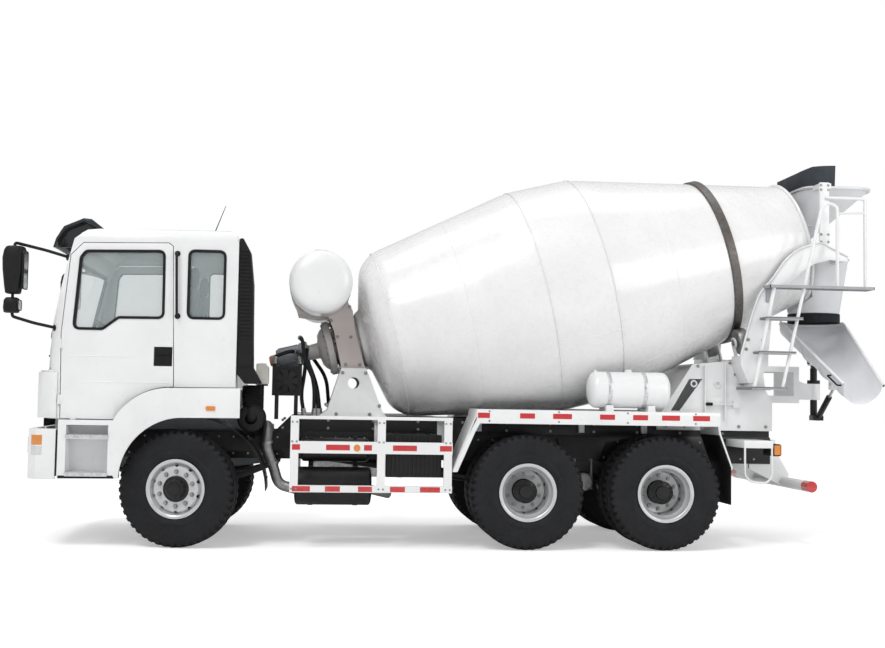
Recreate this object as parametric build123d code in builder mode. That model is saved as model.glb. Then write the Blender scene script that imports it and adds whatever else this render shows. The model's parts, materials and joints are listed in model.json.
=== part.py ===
from build123d import *
import math
import os

os.makedirs("parts", exist_ok=True)

# A three-axle concrete mixer truck. Millimetres, +Z up, ground at Z = 0.
# The truck drives towards -X and its left side is at -Y.
# Lengths along the truck are measured from the front axle: the planes below put that axle in its place.

# ---------------------------------------------------------------- driving dimensions
FRONT_REACH = 1700          # front axle to the mirrors' front
REAR_REACH = 7365           # front axle to the hopper's rear
FRONT_AXLE_X = (FRONT_REACH - REAR_REACH) / 2

WHEELBASE = 3400            # front axle to first rear axle
TANDEM = 1400               # first rear axle to second
GAP = 0.3                   # running gap between pieces that seat on each other
MOVE_GAP = 8                # gap round moving panels

# wheels
TYRE_RADIUS = 570
TYRE_WIDTH = 300
BEAD_RADIUS = 262
RIM_LIP = 292
RIM_WIDTH = 236
RIM_WALL = 12
DISC_WALL = 14
SPINDLE_RADIUS = 45
SPINDLE = 100               # depth of the front hub's bore
HUB_REACH = 200             # from between the twins to the hub's inner end
HAND_HOLES = 10             # in each wheel's disc
HAND_HOLE_RADIUS = 16
HAND_HOLE_CIRCLE = 230      # radius of the circle that they stand on
FRONT_TYRE_Y = 1010
KINGPIN_Y = 830
REAR_TYRE_Y = 915           # middle of a twin pair
TWIN_SPACING = 350
STEER_REST = -9.35          # degrees about +Z, the wheels stand turned a little to the right
AXLE_Z = TYRE_RADIUS

# chassis
RAIL_OUT = 430              # outside of the frame rails
RAIL_WALL = 10
RAIL_FLANGE = 85
RAIL_TOP = 1125
RAIL_DEPTH = 285
RAIL_FRONT = -1230
RAIL_REAR = 6170
SUB_HEIGHT = 160
SUB_WIDTH = 80
SUB_FRONT = 870
SUB_TOP = RAIL_TOP + SUB_HEIGHT

# cab
CAB_Y = 1150
CAB_WALL = 55
CAB_FLOOR_Z = 1236
FENDER_TOP = 1548
FENDER_Y = 1230
TUNNEL_Y = 450
TUNNEL_TOP = 1560
TILT_X = -1300
TILT_Z = 1000

# drum
DRUM_X = 1740
DRUM_Z = 2089
DRUM_TILT = 14.0
DRUM_WALL = 8
BELLY = (2584, 1230)         # where the rear cone starts: along the axis, radius
MOUTH = (4940, 660)          # where it ends
RING_S = 3975
RING_RADIUS = 924
RING_WIDTH = 84
ROLLER_RADIUS = 140
ROLLER_WIDTH = 110
ROLLER_SPREAD = 30          # degrees each side of the drum's lowest line

# chute
CHUTE_X = 6850
CHUTE_TOP_Z = 2405          # rim of the chute over its swivel
CHUTE_HINGE_Z = 1960
CHUTE_LENGTH = 1454
CHUTE_SLOPE = 28.5
CHUTE_WALL = 6

# ---------------------------------------------------------------- planes and axes
FA = FRONT_AXLE_X
SIDE = Plane(origin=(FA, 0, 0), x_dir=(1, 0, 0), z_dir=(0, -1, 0))     # x along the truck, y up
PLAN = Plane(origin=(FA, 0, 0))                                        # x along, y to the right
REAR_AXLES = (WHEELBASE, WHEELBASE + TANDEM)

DRUM_C = math.cos(math.radians(DRUM_TILT))
DRUM_S = math.sin(math.radians(DRUM_TILT))
DRUM = Plane(origin=(FA + DRUM_X, 0, DRUM_Z), x_dir=(DRUM_C, 0, DRUM_S), z_dir=(0, -1, 0))
DRUM_AXIS = Axis(DRUM.origin, DRUM.x_dir)


def at(x, y, z):
    """A place, from the front axle's."""
    return Vector(FA + x, y, z)


def cross_plane(x):
    """The plane across the truck at x: its x to the right side, its y up."""
    return Plane(origin=(FA + x, 0, 0), x_dir=(0, 1, 0), z_dir=(1, 0, 0))


def drum_point(s, up, y=0):
    """A place s along the drum's axis and up square to it."""
    return Vector(FA + DRUM_X + s * DRUM_C - up * DRUM_S, y, DRUM_Z + s * DRUM_S + up * DRUM_C)


def save(piece, name):
    """Label a finished piece and write it."""
    piece.part.label = name
    export_step(piece.part, f"parts/{name}.step")


def slab(points, y_from, y_to, mode=Mode.ADD):
    """A plate seen from the side: its outline's corners (x, z), from y_from to y_to."""
    with BuildSketch(SIDE.offset(-y_to)) as outline:
        with BuildLine():
            Polyline(*points, close=True)
        make_face()
    extrude(outline.sketch, amount=y_to - y_from, mode=mode)


def block(x0, x1, y0, y1, z0, z1, mode=Mode.ADD):
    """A box between two corners."""
    with Locations(at((x0 + x1) / 2, (y0 + y1) / 2, (z0 + z1) / 2)):
        Box(abs(x1 - x0), abs(y1 - y0), abs(z1 - z0), mode=mode)


def bar(p, q, radius, mode=Mode.ADD):
    """A round bar between two places."""
    p, q = Vector(p), Vector(q)
    with BuildSketch(Plane(origin=p, z_dir=q - p)) as section:
        Circle(radius)
    extrude(section.sketch, amount=(q - p).length, mode=mode)


def vessel(p, q, radius, knuckle):
    """A round tank between two places, its ends rounded over."""
    p, q = Vector(p), Vector(q)
    with BuildPart(mode=Mode.PRIVATE) as tank:
        with BuildSketch(Plane(origin=p, z_dir=q - p)):
            Circle(radius)
        extrude(amount=(q - p).length)
        fillet(tank.edges().filter_by(GeomType.CIRCLE), knuckle)
    add(tank.part)


def tube_run(points, radius, bends):
    """A bent tube along straight runs, with a bend radius at each inner corner."""
    with BuildLine() as run:
        FilletPolyline(*points, radius=bends)
    with BuildSketch(Plane(origin=run.line @ 0, z_dir=run.line % 0)) as section:
        Circle(radius)
    sweep(section.sketch, path=run.line)


# ---------------------------------------------------------------- chassis
RAIL_IN = RAIL_OUT - RAIL_FLANGE
CROSS_MEMBERS = (-1130, 900, 2300, 3400 - 340, 3400 + TANDEM / 2, 4800 + 420, 6100)   # middles, along the truck
CROSS_WIDTH = 90
CROSS_DEPTH = 110
RAIL_LOW = RAIL_TOP - RAIL_DEPTH
BEAM = 60
TOW_RADIUS = 20
TOW_X = -1340
TOW_Z = 830
JAW = 70
JAW_HEIGHT = 170
JAW_SLOT = 50
TILT_BRACKET = 60
TILT_LUG = 50
TILT_LUG_Y = RAIL_OUT + TILT_BRACKET + 6
TILT_PIN = 22


def make_chassis_frame():
    with BuildPart() as frame:
        rail = ((RAIL_OUT, RAIL_TOP), (RAIL_OUT, RAIL_LOW), (RAIL_IN, RAIL_LOW), (RAIL_IN, RAIL_LOW + RAIL_WALL),
                (RAIL_OUT - RAIL_WALL, RAIL_LOW + RAIL_WALL), (RAIL_OUT - RAIL_WALL, RAIL_TOP - RAIL_WALL),
                (RAIL_IN, RAIL_TOP - RAIL_WALL), (RAIL_IN, RAIL_TOP))
        with BuildSketch(cross_plane(RAIL_FRONT)):
            with BuildLine():
                Polyline(*rail, close=True)
            make_face()
            mirror(about=Plane.YZ)
        extrude(amount=RAIL_REAR - RAIL_FRONT)
        for x in CROSS_MEMBERS:
            block(x - CROSS_WIDTH / 2, x + CROSS_WIDTH / 2, -RAIL_OUT + RAIL_WALL, RAIL_OUT - RAIL_WALL,
                  RAIL_TOP - RAIL_WALL - CROSS_DEPTH, RAIL_TOP - RAIL_WALL)
        # front beam with the towing jaw and its pin bore
        block(RAIL_FRONT - BEAM, RAIL_FRONT, -RAIL_OUT, RAIL_OUT, RAIL_LOW, RAIL_TOP - 40)
        block(TOW_X - JAW / 2, RAIL_FRONT - BEAM, -JAW, JAW, TOW_Z - JAW_HEIGHT / 2, TOW_Z + JAW_HEIGHT / 2)
        block(TOW_X - JAW, TOW_X + 20, -JAW - 1, JAW + 1, TOW_Z - JAW_SLOT / 2, TOW_Z + JAW_SLOT / 2, mode=Mode.SUBTRACT)
        with Locations(at(TOW_X, 0, TOW_Z)):
            Cylinder(TOW_RADIUS, JAW_HEIGHT + 2, mode=Mode.SUBTRACT)
        # rear end plate
        block(RAIL_REAR, RAIL_REAR + 12, -RAIL_OUT, RAIL_OUT, RAIL_LOW, RAIL_TOP)
        # cab tilt brackets and their pins at the frame's nose
        for side in (-1, 1):
            y0, y1 = sorted((side * RAIL_OUT, side * (RAIL_OUT + TILT_BRACKET)))
            slab(((TILT_X - 40, TILT_Z - 30), (TILT_X + 100, TILT_Z - 130), (TILT_X + 260, TILT_Z - 130),
                  (TILT_X + 260, TILT_Z + 60), (TILT_X + 30, TILT_Z + 45), (TILT_X - 40, TILT_Z + 30)), y0, y1)
            bar(at(TILT_X, side * RAIL_OUT, TILT_Z), at(TILT_X, side * (TILT_LUG_Y + TILT_LUG + 12), TILT_Z), TILT_PIN)
    save(frame, "chassis_frame")


def make_subframe():
    with BuildPart() as sub:
        for side in (-1, 1):
            y0, y1 = sorted((side * (RAIL_OUT - SUB_WIDTH), side * RAIL_OUT))
            slab(((SUB_FRONT, RAIL_TOP), (SUB_FRONT + 160, SUB_TOP), (RAIL_REAR, SUB_TOP), (RAIL_REAR, RAIL_TOP)), y0, y1)
        for x in (1100, 1960, 3000, 4100, 4980, 6120):
            block(x - 40, x + 40, -RAIL_OUT + SUB_WIDTH, RAIL_OUT - SUB_WIDTH, RAIL_TOP + 30, SUB_TOP - 20)
    save(sub, "subframe")


ENGINE_Y = 330


def make_engine():
    with BuildPart() as engine:
        slab(((-1080, 700), (-1080, 1420), (250, 1500), (250, 1300), (840, 1180), (840, 800), (100, 700), (60, 600),
              (-600, 600), (-640, 700)), -ENGINE_Y, ENGINE_Y)
    save(engine, "engine")


SPRING_Y = 415
SPRING_WIDTH = 80


def make_front_axle():
    with BuildPart() as axle:
        # dropped beam, seen from the front
        with BuildSketch(cross_plane(-55)):
            with BuildLine():
                Polyline((0, 440), (520, 440), (KINGPIN_Y - 100, 510), (KINGPIN_Y - 100, AXLE_Z + 50),
                         (KINGPIN_Y - 130, AXLE_Z + 50), (540, 560), (0, 560), close=True)
            make_face()
            mirror(about=Plane.YZ)
        extrude(amount=110)
        for side in (-1, 1):
            with Locations(at(0, side * (KINGPIN_Y - 0), AXLE_Z)):
                Cylinder(52, 110)
            with Locations(at(0, side * (KINGPIN_Y - 70), AXLE_Z)):
                Box(90, 110, 90)
            with Locations(at(0, side * KINGPIN_Y, AXLE_Z)):
                Cylinder(24.5, 240)
            # leaf spring pack with its eyes
            y0, y1 = sorted((side * (SPRING_Y - SPRING_WIDTH / 2), side * (SPRING_Y + SPRING_WIDTH / 2)))
            with BuildSketch(SIDE.offset(-y1)):
                with BuildLine():
                    ThreePointArc((-860, 790), (0, 640), (860, 790))
                    Line((860, 790), (860, 770))
                    ThreePointArc((860, 770), (0, 560), (-860, 770))
                    Line((-860, 770), (-860, 790))
                make_face()
            extrude(amount=SPRING_WIDTH)
            block(-110, 110, y0 - 10, y1 + 10, 540, 605)
            for x in (-860, 860):
                slab(((x - 50, 760), (x + 50, 760), (x + 70, RAIL_TOP - RAIL_DEPTH), (x - 70, RAIL_TOP - RAIL_DEPTH)), y0, y1)
    save(axle, "front_axle")


REAR_SPRING_Y = 500
TRUNNION_X = WHEELBASE + TANDEM / 2
TRUNNION_Z = 640


def make_rear_axles():
    with BuildPart() as axles:
        for x in REAR_AXLES:
            with Locations(Location(at(x, 0, AXLE_Z), (90, 0, 0))):
                Cylinder(68, 2 * (REAR_TYRE_Y - HUB_REACH - 10))
                Cylinder(SPINDLE_RADIUS, 2 * (REAR_TYRE_Y - HUB_REACH + 190))
            with Locations(at(x, 0, AXLE_Z)):
                Sphere(225)
            bar(at(x - 330, 0, AXLE_Z + 60), at(x, 0, AXLE_Z + 30), 90)
            for side in (-1, 1):
                with Locations(at(x, side * REAR_SPRING_Y, AXLE_Z + 50)):
                    Box(170, 110, 120)
        for side in (-1, 1):
            y0, y1 = sorted((side * (REAR_SPRING_Y - 45), side * (REAR_SPRING_Y + 45)))
            with BuildSketch(SIDE.offset(-y1)):
                with BuildLine():
                    ThreePointArc((TRUNNION_X - 760, 660), (TRUNNION_X, 860), (TRUNNION_X + 760, 660))
                    Line((TRUNNION_X + 760, 660), (TRUNNION_X + 760, 630))
                    ThreePointArc((TRUNNION_X + 760, 630), (TRUNNION_X, 730), (TRUNNION_X - 760, 630))
                    Line((TRUNNION_X - 760, 630), (TRUNNION_X - 760, 660))
                make_face()
            extrude(amount=90)
            y2, y3 = sorted((side * RAIL_OUT, side * (REAR_SPRING_Y - 40)))
            slab(((TRUNNION_X - 110, 560), (TRUNNION_X + 110, 560), (TRUNNION_X + 260, RAIL_TOP - 40),
                  (TRUNNION_X - 260, RAIL_TOP - 40)), y2, y3)
            bar(at(TRUNNION_X, side * RAIL_OUT, TRUNNION_Z), at(TRUNNION_X, side * (REAR_SPRING_Y + 70), TRUNNION_Z), 85)
        # propeller shafts
        bar(at(856, 0, 925), at(WHEELBASE - 320, 0, AXLE_Z + 60), 55)
        bar(at(WHEELBASE + 100, 0, AXLE_Z + 70), at(WHEELBASE + TANDEM - 320, 0, AXLE_Z + 62), 60)
    save(axles, "rear_axles")


# ---------------------------------------------------------------- front end
BUMPER_FRONT = -1480
BUMPER_TOP = 1140
BUMPER_LOW = 660
LAMP_Y = (760, 1060)
LAMP_Z = (900, 1060)


def make_bumper():
    with BuildPart() as bumper:
        with BuildSketch(PLAN.offset(BUMPER_LOW)):
            with BuildLine():
                Polyline((-1180, -FENDER_Y), (-1360, -FENDER_Y), (BUMPER_FRONT + 30, -FENDER_Y + 90),
                         (BUMPER_FRONT, -700), (BUMPER_FRONT, 700), (BUMPER_FRONT + 30, FENDER_Y - 90),
                         (-1360, FENDER_Y), (-1180, FENDER_Y), (-1180, FENDER_Y - 40), (-1330, FENDER_Y - 45),
                         (BUMPER_FRONT + 90, FENDER_Y - 140), (BUMPER_FRONT + 60, 690), (BUMPER_FRONT + 60, -690),
                         (BUMPER_FRONT + 90, -FENDER_Y + 140), (-1330, -FENDER_Y + 45), (-1180, -FENDER_Y + 40), close=True)
            make_face()
        extrude(amount=BUMPER_TOP - BUMPER_LOW)
        # the opening in front of the towing jaw
        block(BUMPER_FRONT - 60, BUMPER_FRONT + 120, -130, 130, TOW_Z - 120, TOW_Z + 110, mode=Mode.SUBTRACT)
        for side in (-1, 1):
            # brackets to the frame's front beam
            y0, y1 = sorted((side * 300, side * RAIL_OUT))
            block(BUMPER_FRONT + 55, RAIL_FRONT - BEAM, y0, y1, RAIL_LOW + 30, RAIL_LOW + 120)
            # recess of the headlamp
            y2, y3 = sorted((side * LAMP_Y[0], side * LAMP_Y[1]))
            block(BUMPER_FRONT - 60, BUMPER_FRONT + 30, y2, y3, LAMP_Z[0], LAMP_Z[1], mode=Mode.SUBTRACT)
            # slot that the cab's tilt arm swings through
            y4, y5 = sorted((side * (TILT_LUG_Y - 8), side * (TILT_LUG_Y + TILT_LUG + 20)))
            block(BUMPER_FRONT - 60, BUMPER_FRONT + 120, y4, y5, BUMPER_TOP - 115, BUMPER_TOP + 1, mode=Mode.SUBTRACT)
    save(bumper, "bumper")
    with BuildPart() as lamps:
        for side in (-1, 1):
            y2, y3 = sorted((side * (LAMP_Y[0] + 1), side * (LAMP_Y[1] - 1)))
            block(BUMPER_FRONT + 6, BUMPER_FRONT + 30 - GAP, y2, y3, LAMP_Z[0] + 1, LAMP_Z[1] - 1)
    save(lamps, "headlamps")


ARCH_FRONT = (-586, 672)


def fender_outline():
    """The side of the step well and front wing, with the wheel cut out."""
    with BuildLine() as edge:
        Line((-1160, 667), ARCH_FRONT)
        ThreePointArc(ARCH_FRONT, (-442, 1051), (-147, 1242))
        ThreePointArc((-147, 1242), (-80, 1256), (-11, 1262))
        Line((-11, 1262), (553, 1266))
        Line((553, 1266), (553, FENDER_TOP + 8))
        Line((553, FENDER_TOP + 8), (-90, FENDER_TOP))
        ThreePointArc((-90, FENDER_TOP), (-318, 1515), (-648, 1228))
        Line((-648, 1228), (-1160, 1228))
        Line((-1160, 1228), (-1160, 667))
    make_face(edge.line)


STEP_WELL = ((-1085, -690, 700, 1040), (-1085, -690, 1085, 1190))   # x from, x to, z from, z to
WELL_DEPTH = 240
STEP_TREADS = (690, 1048)                                           # tread undersides


def make_front_fenders():
    with BuildPart() as skin:
        with BuildSketch(SIDE.offset(FENDER_Y - 30)):
            fender_outline()
        extrude(amount=30)
        block(-1085, -690, -FENDER_Y - 1, -FENDER_Y + 31, 690, 1180, mode=Mode.SUBTRACT)
        # seam between the step panel and the wing
        block(-650, -650 + GAP, -FENDER_Y - 1, -FENDER_Y + 31, 600, 1300, mode=Mode.SUBTRACT)
        # top ledge of the wing
        block(-60, 553, -FENDER_Y + 30, -CAB_Y - 10, FENDER_TOP - 30, FENDER_TOP)
        mirror(about=Plane.XZ)
    with BuildPart() as fenders:
        # step well box behind the skin
        block(-1160, -610, -FENDER_Y + 30 + GAP, -FENDER_Y + WELL_DEPTH, 667, 1228)
        block(-1085, -690, -FENDER_Y - 5, -FENDER_Y + WELL_DEPTH - 20, 690, 1180, mode=Mode.SUBTRACT)
        for z in STEP_TREADS:
            block(-1085 + GAP, -690 - GAP, -FENDER_Y - 12, -FENDER_Y + WELL_DEPTH - 20, z + GAP, z + 34)
        # arm to the frame
        bar(at(-900, -FENDER_Y + WELL_DEPTH, 1000), at(-900, -RAIL_OUT, 1000), 28)
        mirror(about=Plane.XZ)
        add(skin.part)
    save(fenders, "front_fenders")


MUDGUARD_C = (115, 562)
MUDGUARD_R = 705
GUARD_T = 8


def make_mudguards():
    with BuildPart() as guards:
        cx, cz = MUDGUARD_C
        r0, r1 = MUDGUARD_R - GUARD_T, MUDGUARD_R
        start, middle = 0.0, 0.9                # angles along the sheet, in radians
        end = math.pi / 2 + 0.1
        with BuildSketch(SIDE.offset(FENDER_Y - 32)):
            with BuildLine():
                outer = [(cx + r1 * math.cos(a), cz + r1 * math.sin(a)) for a in (start, middle, end)]
                inner = [(cx + r0 * math.cos(a), cz + r0 * math.sin(a)) for a in (start, middle, end)]
                ThreePointArc(*outer)
                Line(outer[2], inner[2])
                ThreePointArc(*reversed(inner))
                Line(inner[0], outer[0])
            make_face()
        extrude(amount=-(FENDER_Y - 32 - 640))
        arm = (cx + (r1 + 20) * math.cos(0.75), cz + (r1 + 20) * math.sin(0.75))
        bar(at(arm[0], -1000, arm[1]), at(arm[0], -RAIL_OUT, arm[1]), 22)
        # flaps behind the last wheels
        x = REAR_AXLES[1]
        slab(((x + 556 - GAP, 1164), (x + 680 - GAP, 830), (x + 680 - GAP, 465), (x + 668, 465), (x + 668, 828),
              (x + 545, 1160)), -1215, -610)
        mirror(about=Plane.XZ)
    save(guards, "mudguards")


# ---------------------------------------------------------------- side equipment
def make_air_filter():
    with BuildPart() as air:
        with Locations(at(650, -930, 1480)):
            Cylinder(100, 220)
        bar(at(650, -930, 1372), at(650, -930, 1280), 80)
        bar(at(650, -1010, 1260), at(650, -RAIL_OUT - 70, 1260), 130)
        block(575, 725, -RAIL_OUT - 90, -RAIL_OUT, 1085, 1220)
        # coolant expansion tank on its stand
        block(670, 800, -640, -400, 1600, 1820)
        block(690, 750, -460, -RAIL_OUT, RAIL_TOP - 45, 1600)
        block(680, 780, -600, -RAIL_OUT, 1580, 1600)
    save(air, "air_filter")


EXHAUST_R = 50
MUFFLER_X = (1090, 1861)
MUFFLER_Z = 594
MUFFLER_R = 190


def make_exhaust():
    with BuildPart() as exhaust:
        tube_run((at(815, -ENGINE_Y - GAP, 1180), at(815, -640, 1180), at(790, -800, 980), at(870, -800, 800),
                  at(930, -800, 600), at(MUFFLER_X[0] + 10, -830, 560)), EXHAUST_R, (110, 150, 150, 70))
        vessel(at(MUFFLER_X[0], -830, MUFFLER_Z), at(MUFFLER_X[1], -830, MUFFLER_Z), MUFFLER_R, 40)
        bar(at(MUFFLER_X[1] - 10, -770, 560), at(MUFFLER_X[1] + 190, -600, 500), EXHAUST_R - 5)
        for x in (1250, 1700):
            block(x - 25, x + 25, -870, -RAIL_OUT, 770, 795)
            block(x - 25, x + 25, -RAIL_OUT - 16, -RAIL_OUT, 770, 930)
    save(exhaust, "exhaust")


GUARD_POSTS = (1088, 1936, 2594)
WING_TOP = 1389
GUARD_Y = 1240


def make_side_guards():
    with BuildPart() as guards:
        y0, y1 = -GUARD_Y, -GUARD_Y + 40
        block(1049, 2638, y0, y1, 936, 1053)
        block(1049, 2638, y0, y1, 558, 626)
        for x in GUARD_POSTS:
            block(x - 40, x + 40, y0, y1, 558, 1300)
            block(x - 35, x + 35, y1, -RAIL_OUT, 1225, 1285)
            block(x - 35, x + 35, -RAIL_OUT - 60, -RAIL_OUT, 980, 1285)
        block(1049, 2638, y0, y1 + 40, 1268, 1300)
        mirror(about=Plane.XZ)
    save(guards, "side_guards")


def make_rear_fenders():
    with BuildPart() as fenders:
        y0, y1 = -GUARD_Y, -GUARD_Y + 30
        # outlines from the first rear axle forwards and from the last one backwards
        a, b = REAR_AXLES
        slab(((a - 524, WING_TOP), (b + 554, WING_TOP), (b + 554, 1250), (a - 490, 1250), (a - 531, 1183), (a - 710, 768),
              (a - 760, 768), (a - 570, 1200), (a - 524, 1290)), y0, y1)
        slab(((a - 760, 780), (a - 538, 1320), (a - 524, WING_TOP), (b + 554, WING_TOP), (b + 560, 1250), (b + 575, 1170),
              (b + 700, 830), (b + 680, 830), (b + 556, 1164), (b + 541, 1250), (b + 541, WING_TOP - 14), (a - 510, WING_TOP - 14), (a - 524, 1316),
              (a - 744, 780)), y1, -600)
        for x in (a - 400, a + TANDEM / 2, b - 20):
            block(x - 30, x + 30, -610, -RAIL_OUT, 1310, 1375)
            block(x - 30, x + 30, -RAIL_OUT - 40, -RAIL_OUT, 1150, 1375)
        mirror(about=Plane.XZ)
    save(fenders, "rear_fenders")


def make_side_tanks():
    with BuildPart() as tanks:
        # round-ended water pressure tank over the left rear wing, on two brackets
        vessel(at(4035, -1030, 1605), at(4875, -1030, 1605), 185, 90)
        for x in (4230, 4660):
            slab(((x - 30, 1389), (x + 30, 1389), (x + 30, 1445), (x - 30, 1445)), -1180, -880)
        # fuel tank on the right side
        with BuildSketch(SIDE.offset(-1190)):
            with Locations((1850, 830)):
                RectangleRounded(1150, 480, 90)
        extrude(amount=540)
        for x in (1480, 2250):
            block(x - 40, x + 40, RAIL_OUT, 660, RAIL_LOW + 20, RAIL_TOP - 60)
    save(tanks, "side_tanks")


def make_air_tanks():
    with BuildPart() as air:
        vessel(at(1140, -800, 955), at(1840, -800, 955), 120, 50)
        for x in (1250, 1690):
            block(x - 20, x + 20, -860, -RAIL_OUT, 1060, 1085)
        # battery box behind the side guard, on its bracket
        block(1985, 2545, -1130, -RAIL_OUT - 20, 700, 1130)
        block(1995, 2535, -RAIL_OUT - 20, -RAIL_OUT, 860, 1100)
    save(air, "battery_and_air_tanks")


# ---------------------------------------------------------------- drum supports and drive
TANK_X = 1312
TANK_Z = 2650
TANK_R = 320
TANK_Y = 950
PEDESTAL_TOP = 1790
GEARBOX_TOP = 2190


def make_front_pedestal():
    with BuildPart() as pedestal:
        with BuildSketch(SIDE.offset(RAIL_OUT)):
            with BuildLine():
                Polyline((1317, SUB_TOP), (1408, 1347), (1547, PEDESTAL_TOP), (1807, PEDESTAL_TOP), (1980, 1347),
                         (2031, SUB_TOP), close=True)
            make_face()
        extrude(amount=-2 * RAIL_OUT)
        with BuildSketch(SIDE.offset(RAIL_OUT - 20)):
            with BuildLine():
                Polyline((1372, SUB_TOP), (1420, 1340), (1565, PEDESTAL_TOP - 20), (1789, PEDESTAL_TOP - 20), (1960, 1340),
                         (1990, SUB_TOP), close=True)
            make_face()
        extrude(amount=-2 * (RAIL_OUT - 20), mode=Mode.SUBTRACT)
        with Locations(Location(at(1676, 0, 1635), (90, 0, 0))):
            Cylinder(60, 1000, mode=Mode.SUBTRACT)
        # saddle under the gearbox, and the brackets that carry the water tank over it
        for side in (-1, 1):
            y0, y1 = sorted((side * 300, side * 330))
            slab(((1547, PEDESTAL_TOP), (1797, PEDESTAL_TOP), (1683, GEARBOX_TOP), (1655, 2400), (1600, 2470), (1400, 2327),
                  (1459, GEARBOX_TOP)), y0, y1)
        slab(((1655, 2400), (1560, 2560), (1040, 2480), (1080, 2350), (1250, 2330), (1400, 2327)), -330, 330)
        with Locations(Location(at(TANK_X, 0, TANK_Z), (90, 0, 0))):
            Cylinder(TANK_R + GAP, 2 * TANK_Y, mode=Mode.SUBTRACT)
        # seat of the gearbox
        with BuildSketch(DRUM) as seat:
            with BuildLine():
                Polyline((0, 0), *((along, radius + GAP) for along, radius in GEAR_PROFILE), (-985, 0), close=True)
            make_face()
        revolve(seat.sketch, axis=DRUM_AXIS, mode=Mode.SUBTRACT)
    save(pedestal, "front_pedestal")


def drum_room():
    """Cut away the space that the turning drum needs."""
    with BuildSketch(DRUM) as room:
        with BuildLine():
            Polyline((-MOVE_GAP, 0), (-MOVE_GAP, 300 + MOVE_GAP), (160, 780), (315, 916), (1910, 1232 + DRUM_ROOM),
                     (BELLY[0] + 2, BELLY[1] + DRUM_ROOM), (MOUTH[0] - 13, MOUTH[1] + DRUM_ROOM + 40),
                     (MOUTH[0] + DRUM_ROOM + 10, MOUTH[1] + DRUM_ROOM + 36), (MOUTH[0] + DRUM_ROOM + 10, 0), close=True)
        make_face()
    revolve(room.sketch, axis=DRUM_AXIS, mode=Mode.SUBTRACT)


DRUM_ROOM = 12
# along the drum's axis from its flange towards the engine, radius
GEAR_PROFILE = ((-GAP, 265), (-45, 265), (-45, 165), (-290, 175), (-290, 290), (-360, 290), (-360, 235), (-430, 160),
                (-450, 85), (-560, 80), (-560, 115), (-640, 125), (-640, 110), (-900, 110), (-900, 62), (-985, 62))


def make_drum_drive():
    with BuildPart() as drive:
        with BuildSketch(DRUM):
            with BuildLine():
                Polyline((-GAP, 0), *GEAR_PROFILE, (-985, 0), close=True)
            make_face()
        revolve(axis=DRUM_AXIS)
        # cheeks down to the pedestal's top
        slab(((1547, PEDESTAL_TOP), (1790, PEDESTAL_TOP), (1690, GEARBOX_TOP), (1460, GEARBOX_TOP)), -240, 240)
    save(drive, "drum_drive")


def make_water_tank():
    with BuildPart() as tank:
        vessel(at(TANK_X, -TANK_Y, TANK_Z), at(TANK_X, TANK_Y, TANK_Z), TANK_R, 100)
    save(tank, "water_tank")


def make_oil_cooler():
    with BuildPart() as cooler:
        block(830, 1135, -420, -180, 1491, 1800)
        for y, depth in ((-420, -1), (-180, 1)):
            with BuildSketch(Plane(origin=at(982, y, 1646), z_dir=(0, depth, 0))):
                Circle(118)
                Circle(36, mode=Mode.SUBTRACT)
            extrude(amount=-14, mode=Mode.SUBTRACT)
        block(860, 900, -400, -340, SUB_TOP - 40, 1491)
        block(1060, 1100, -400, -340, SUB_TOP, 1491)
    save(cooler, "oil_cooler")


HOSE_RADIUS = 22
HOSES = (   # points along each hose, from the drive to the subframe
    ((1119, -125.3, 1934), (1119, -240, 1934), (1200, -345, 1860), (1270, -390, 1600), (1270, -390, SUB_TOP + GAP)),
)


def make_hoses():
    with BuildPart() as hoses:
        for route in HOSES:
            tube_run([at(*p) for p in route], HOSE_RADIUS, (60, 90, 110))
    save(hoses, "hydraulic_hoses")


# ---------------------------------------------------------------- rear pedestal
PLATE_Y = 520
PLATE_T = 14
BEARING_LOW = 1540
BEARING_TOP = 1720
BEARING_RADIUS = 70
POST_RADIUS = 38
AXLE_STUB = 35


def roller_place(side):
    """The middle of a support roller and the direction of its axle."""
    spread = math.radians(ROLLER_SPREAD)
    reach = RING_RADIUS + ROLLER_RADIUS + GAP
    return (drum_point(RING_S, -reach * math.cos(spread), side * reach * math.sin(spread)),
            Vector(DRUM_C, 0, DRUM_S))


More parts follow.
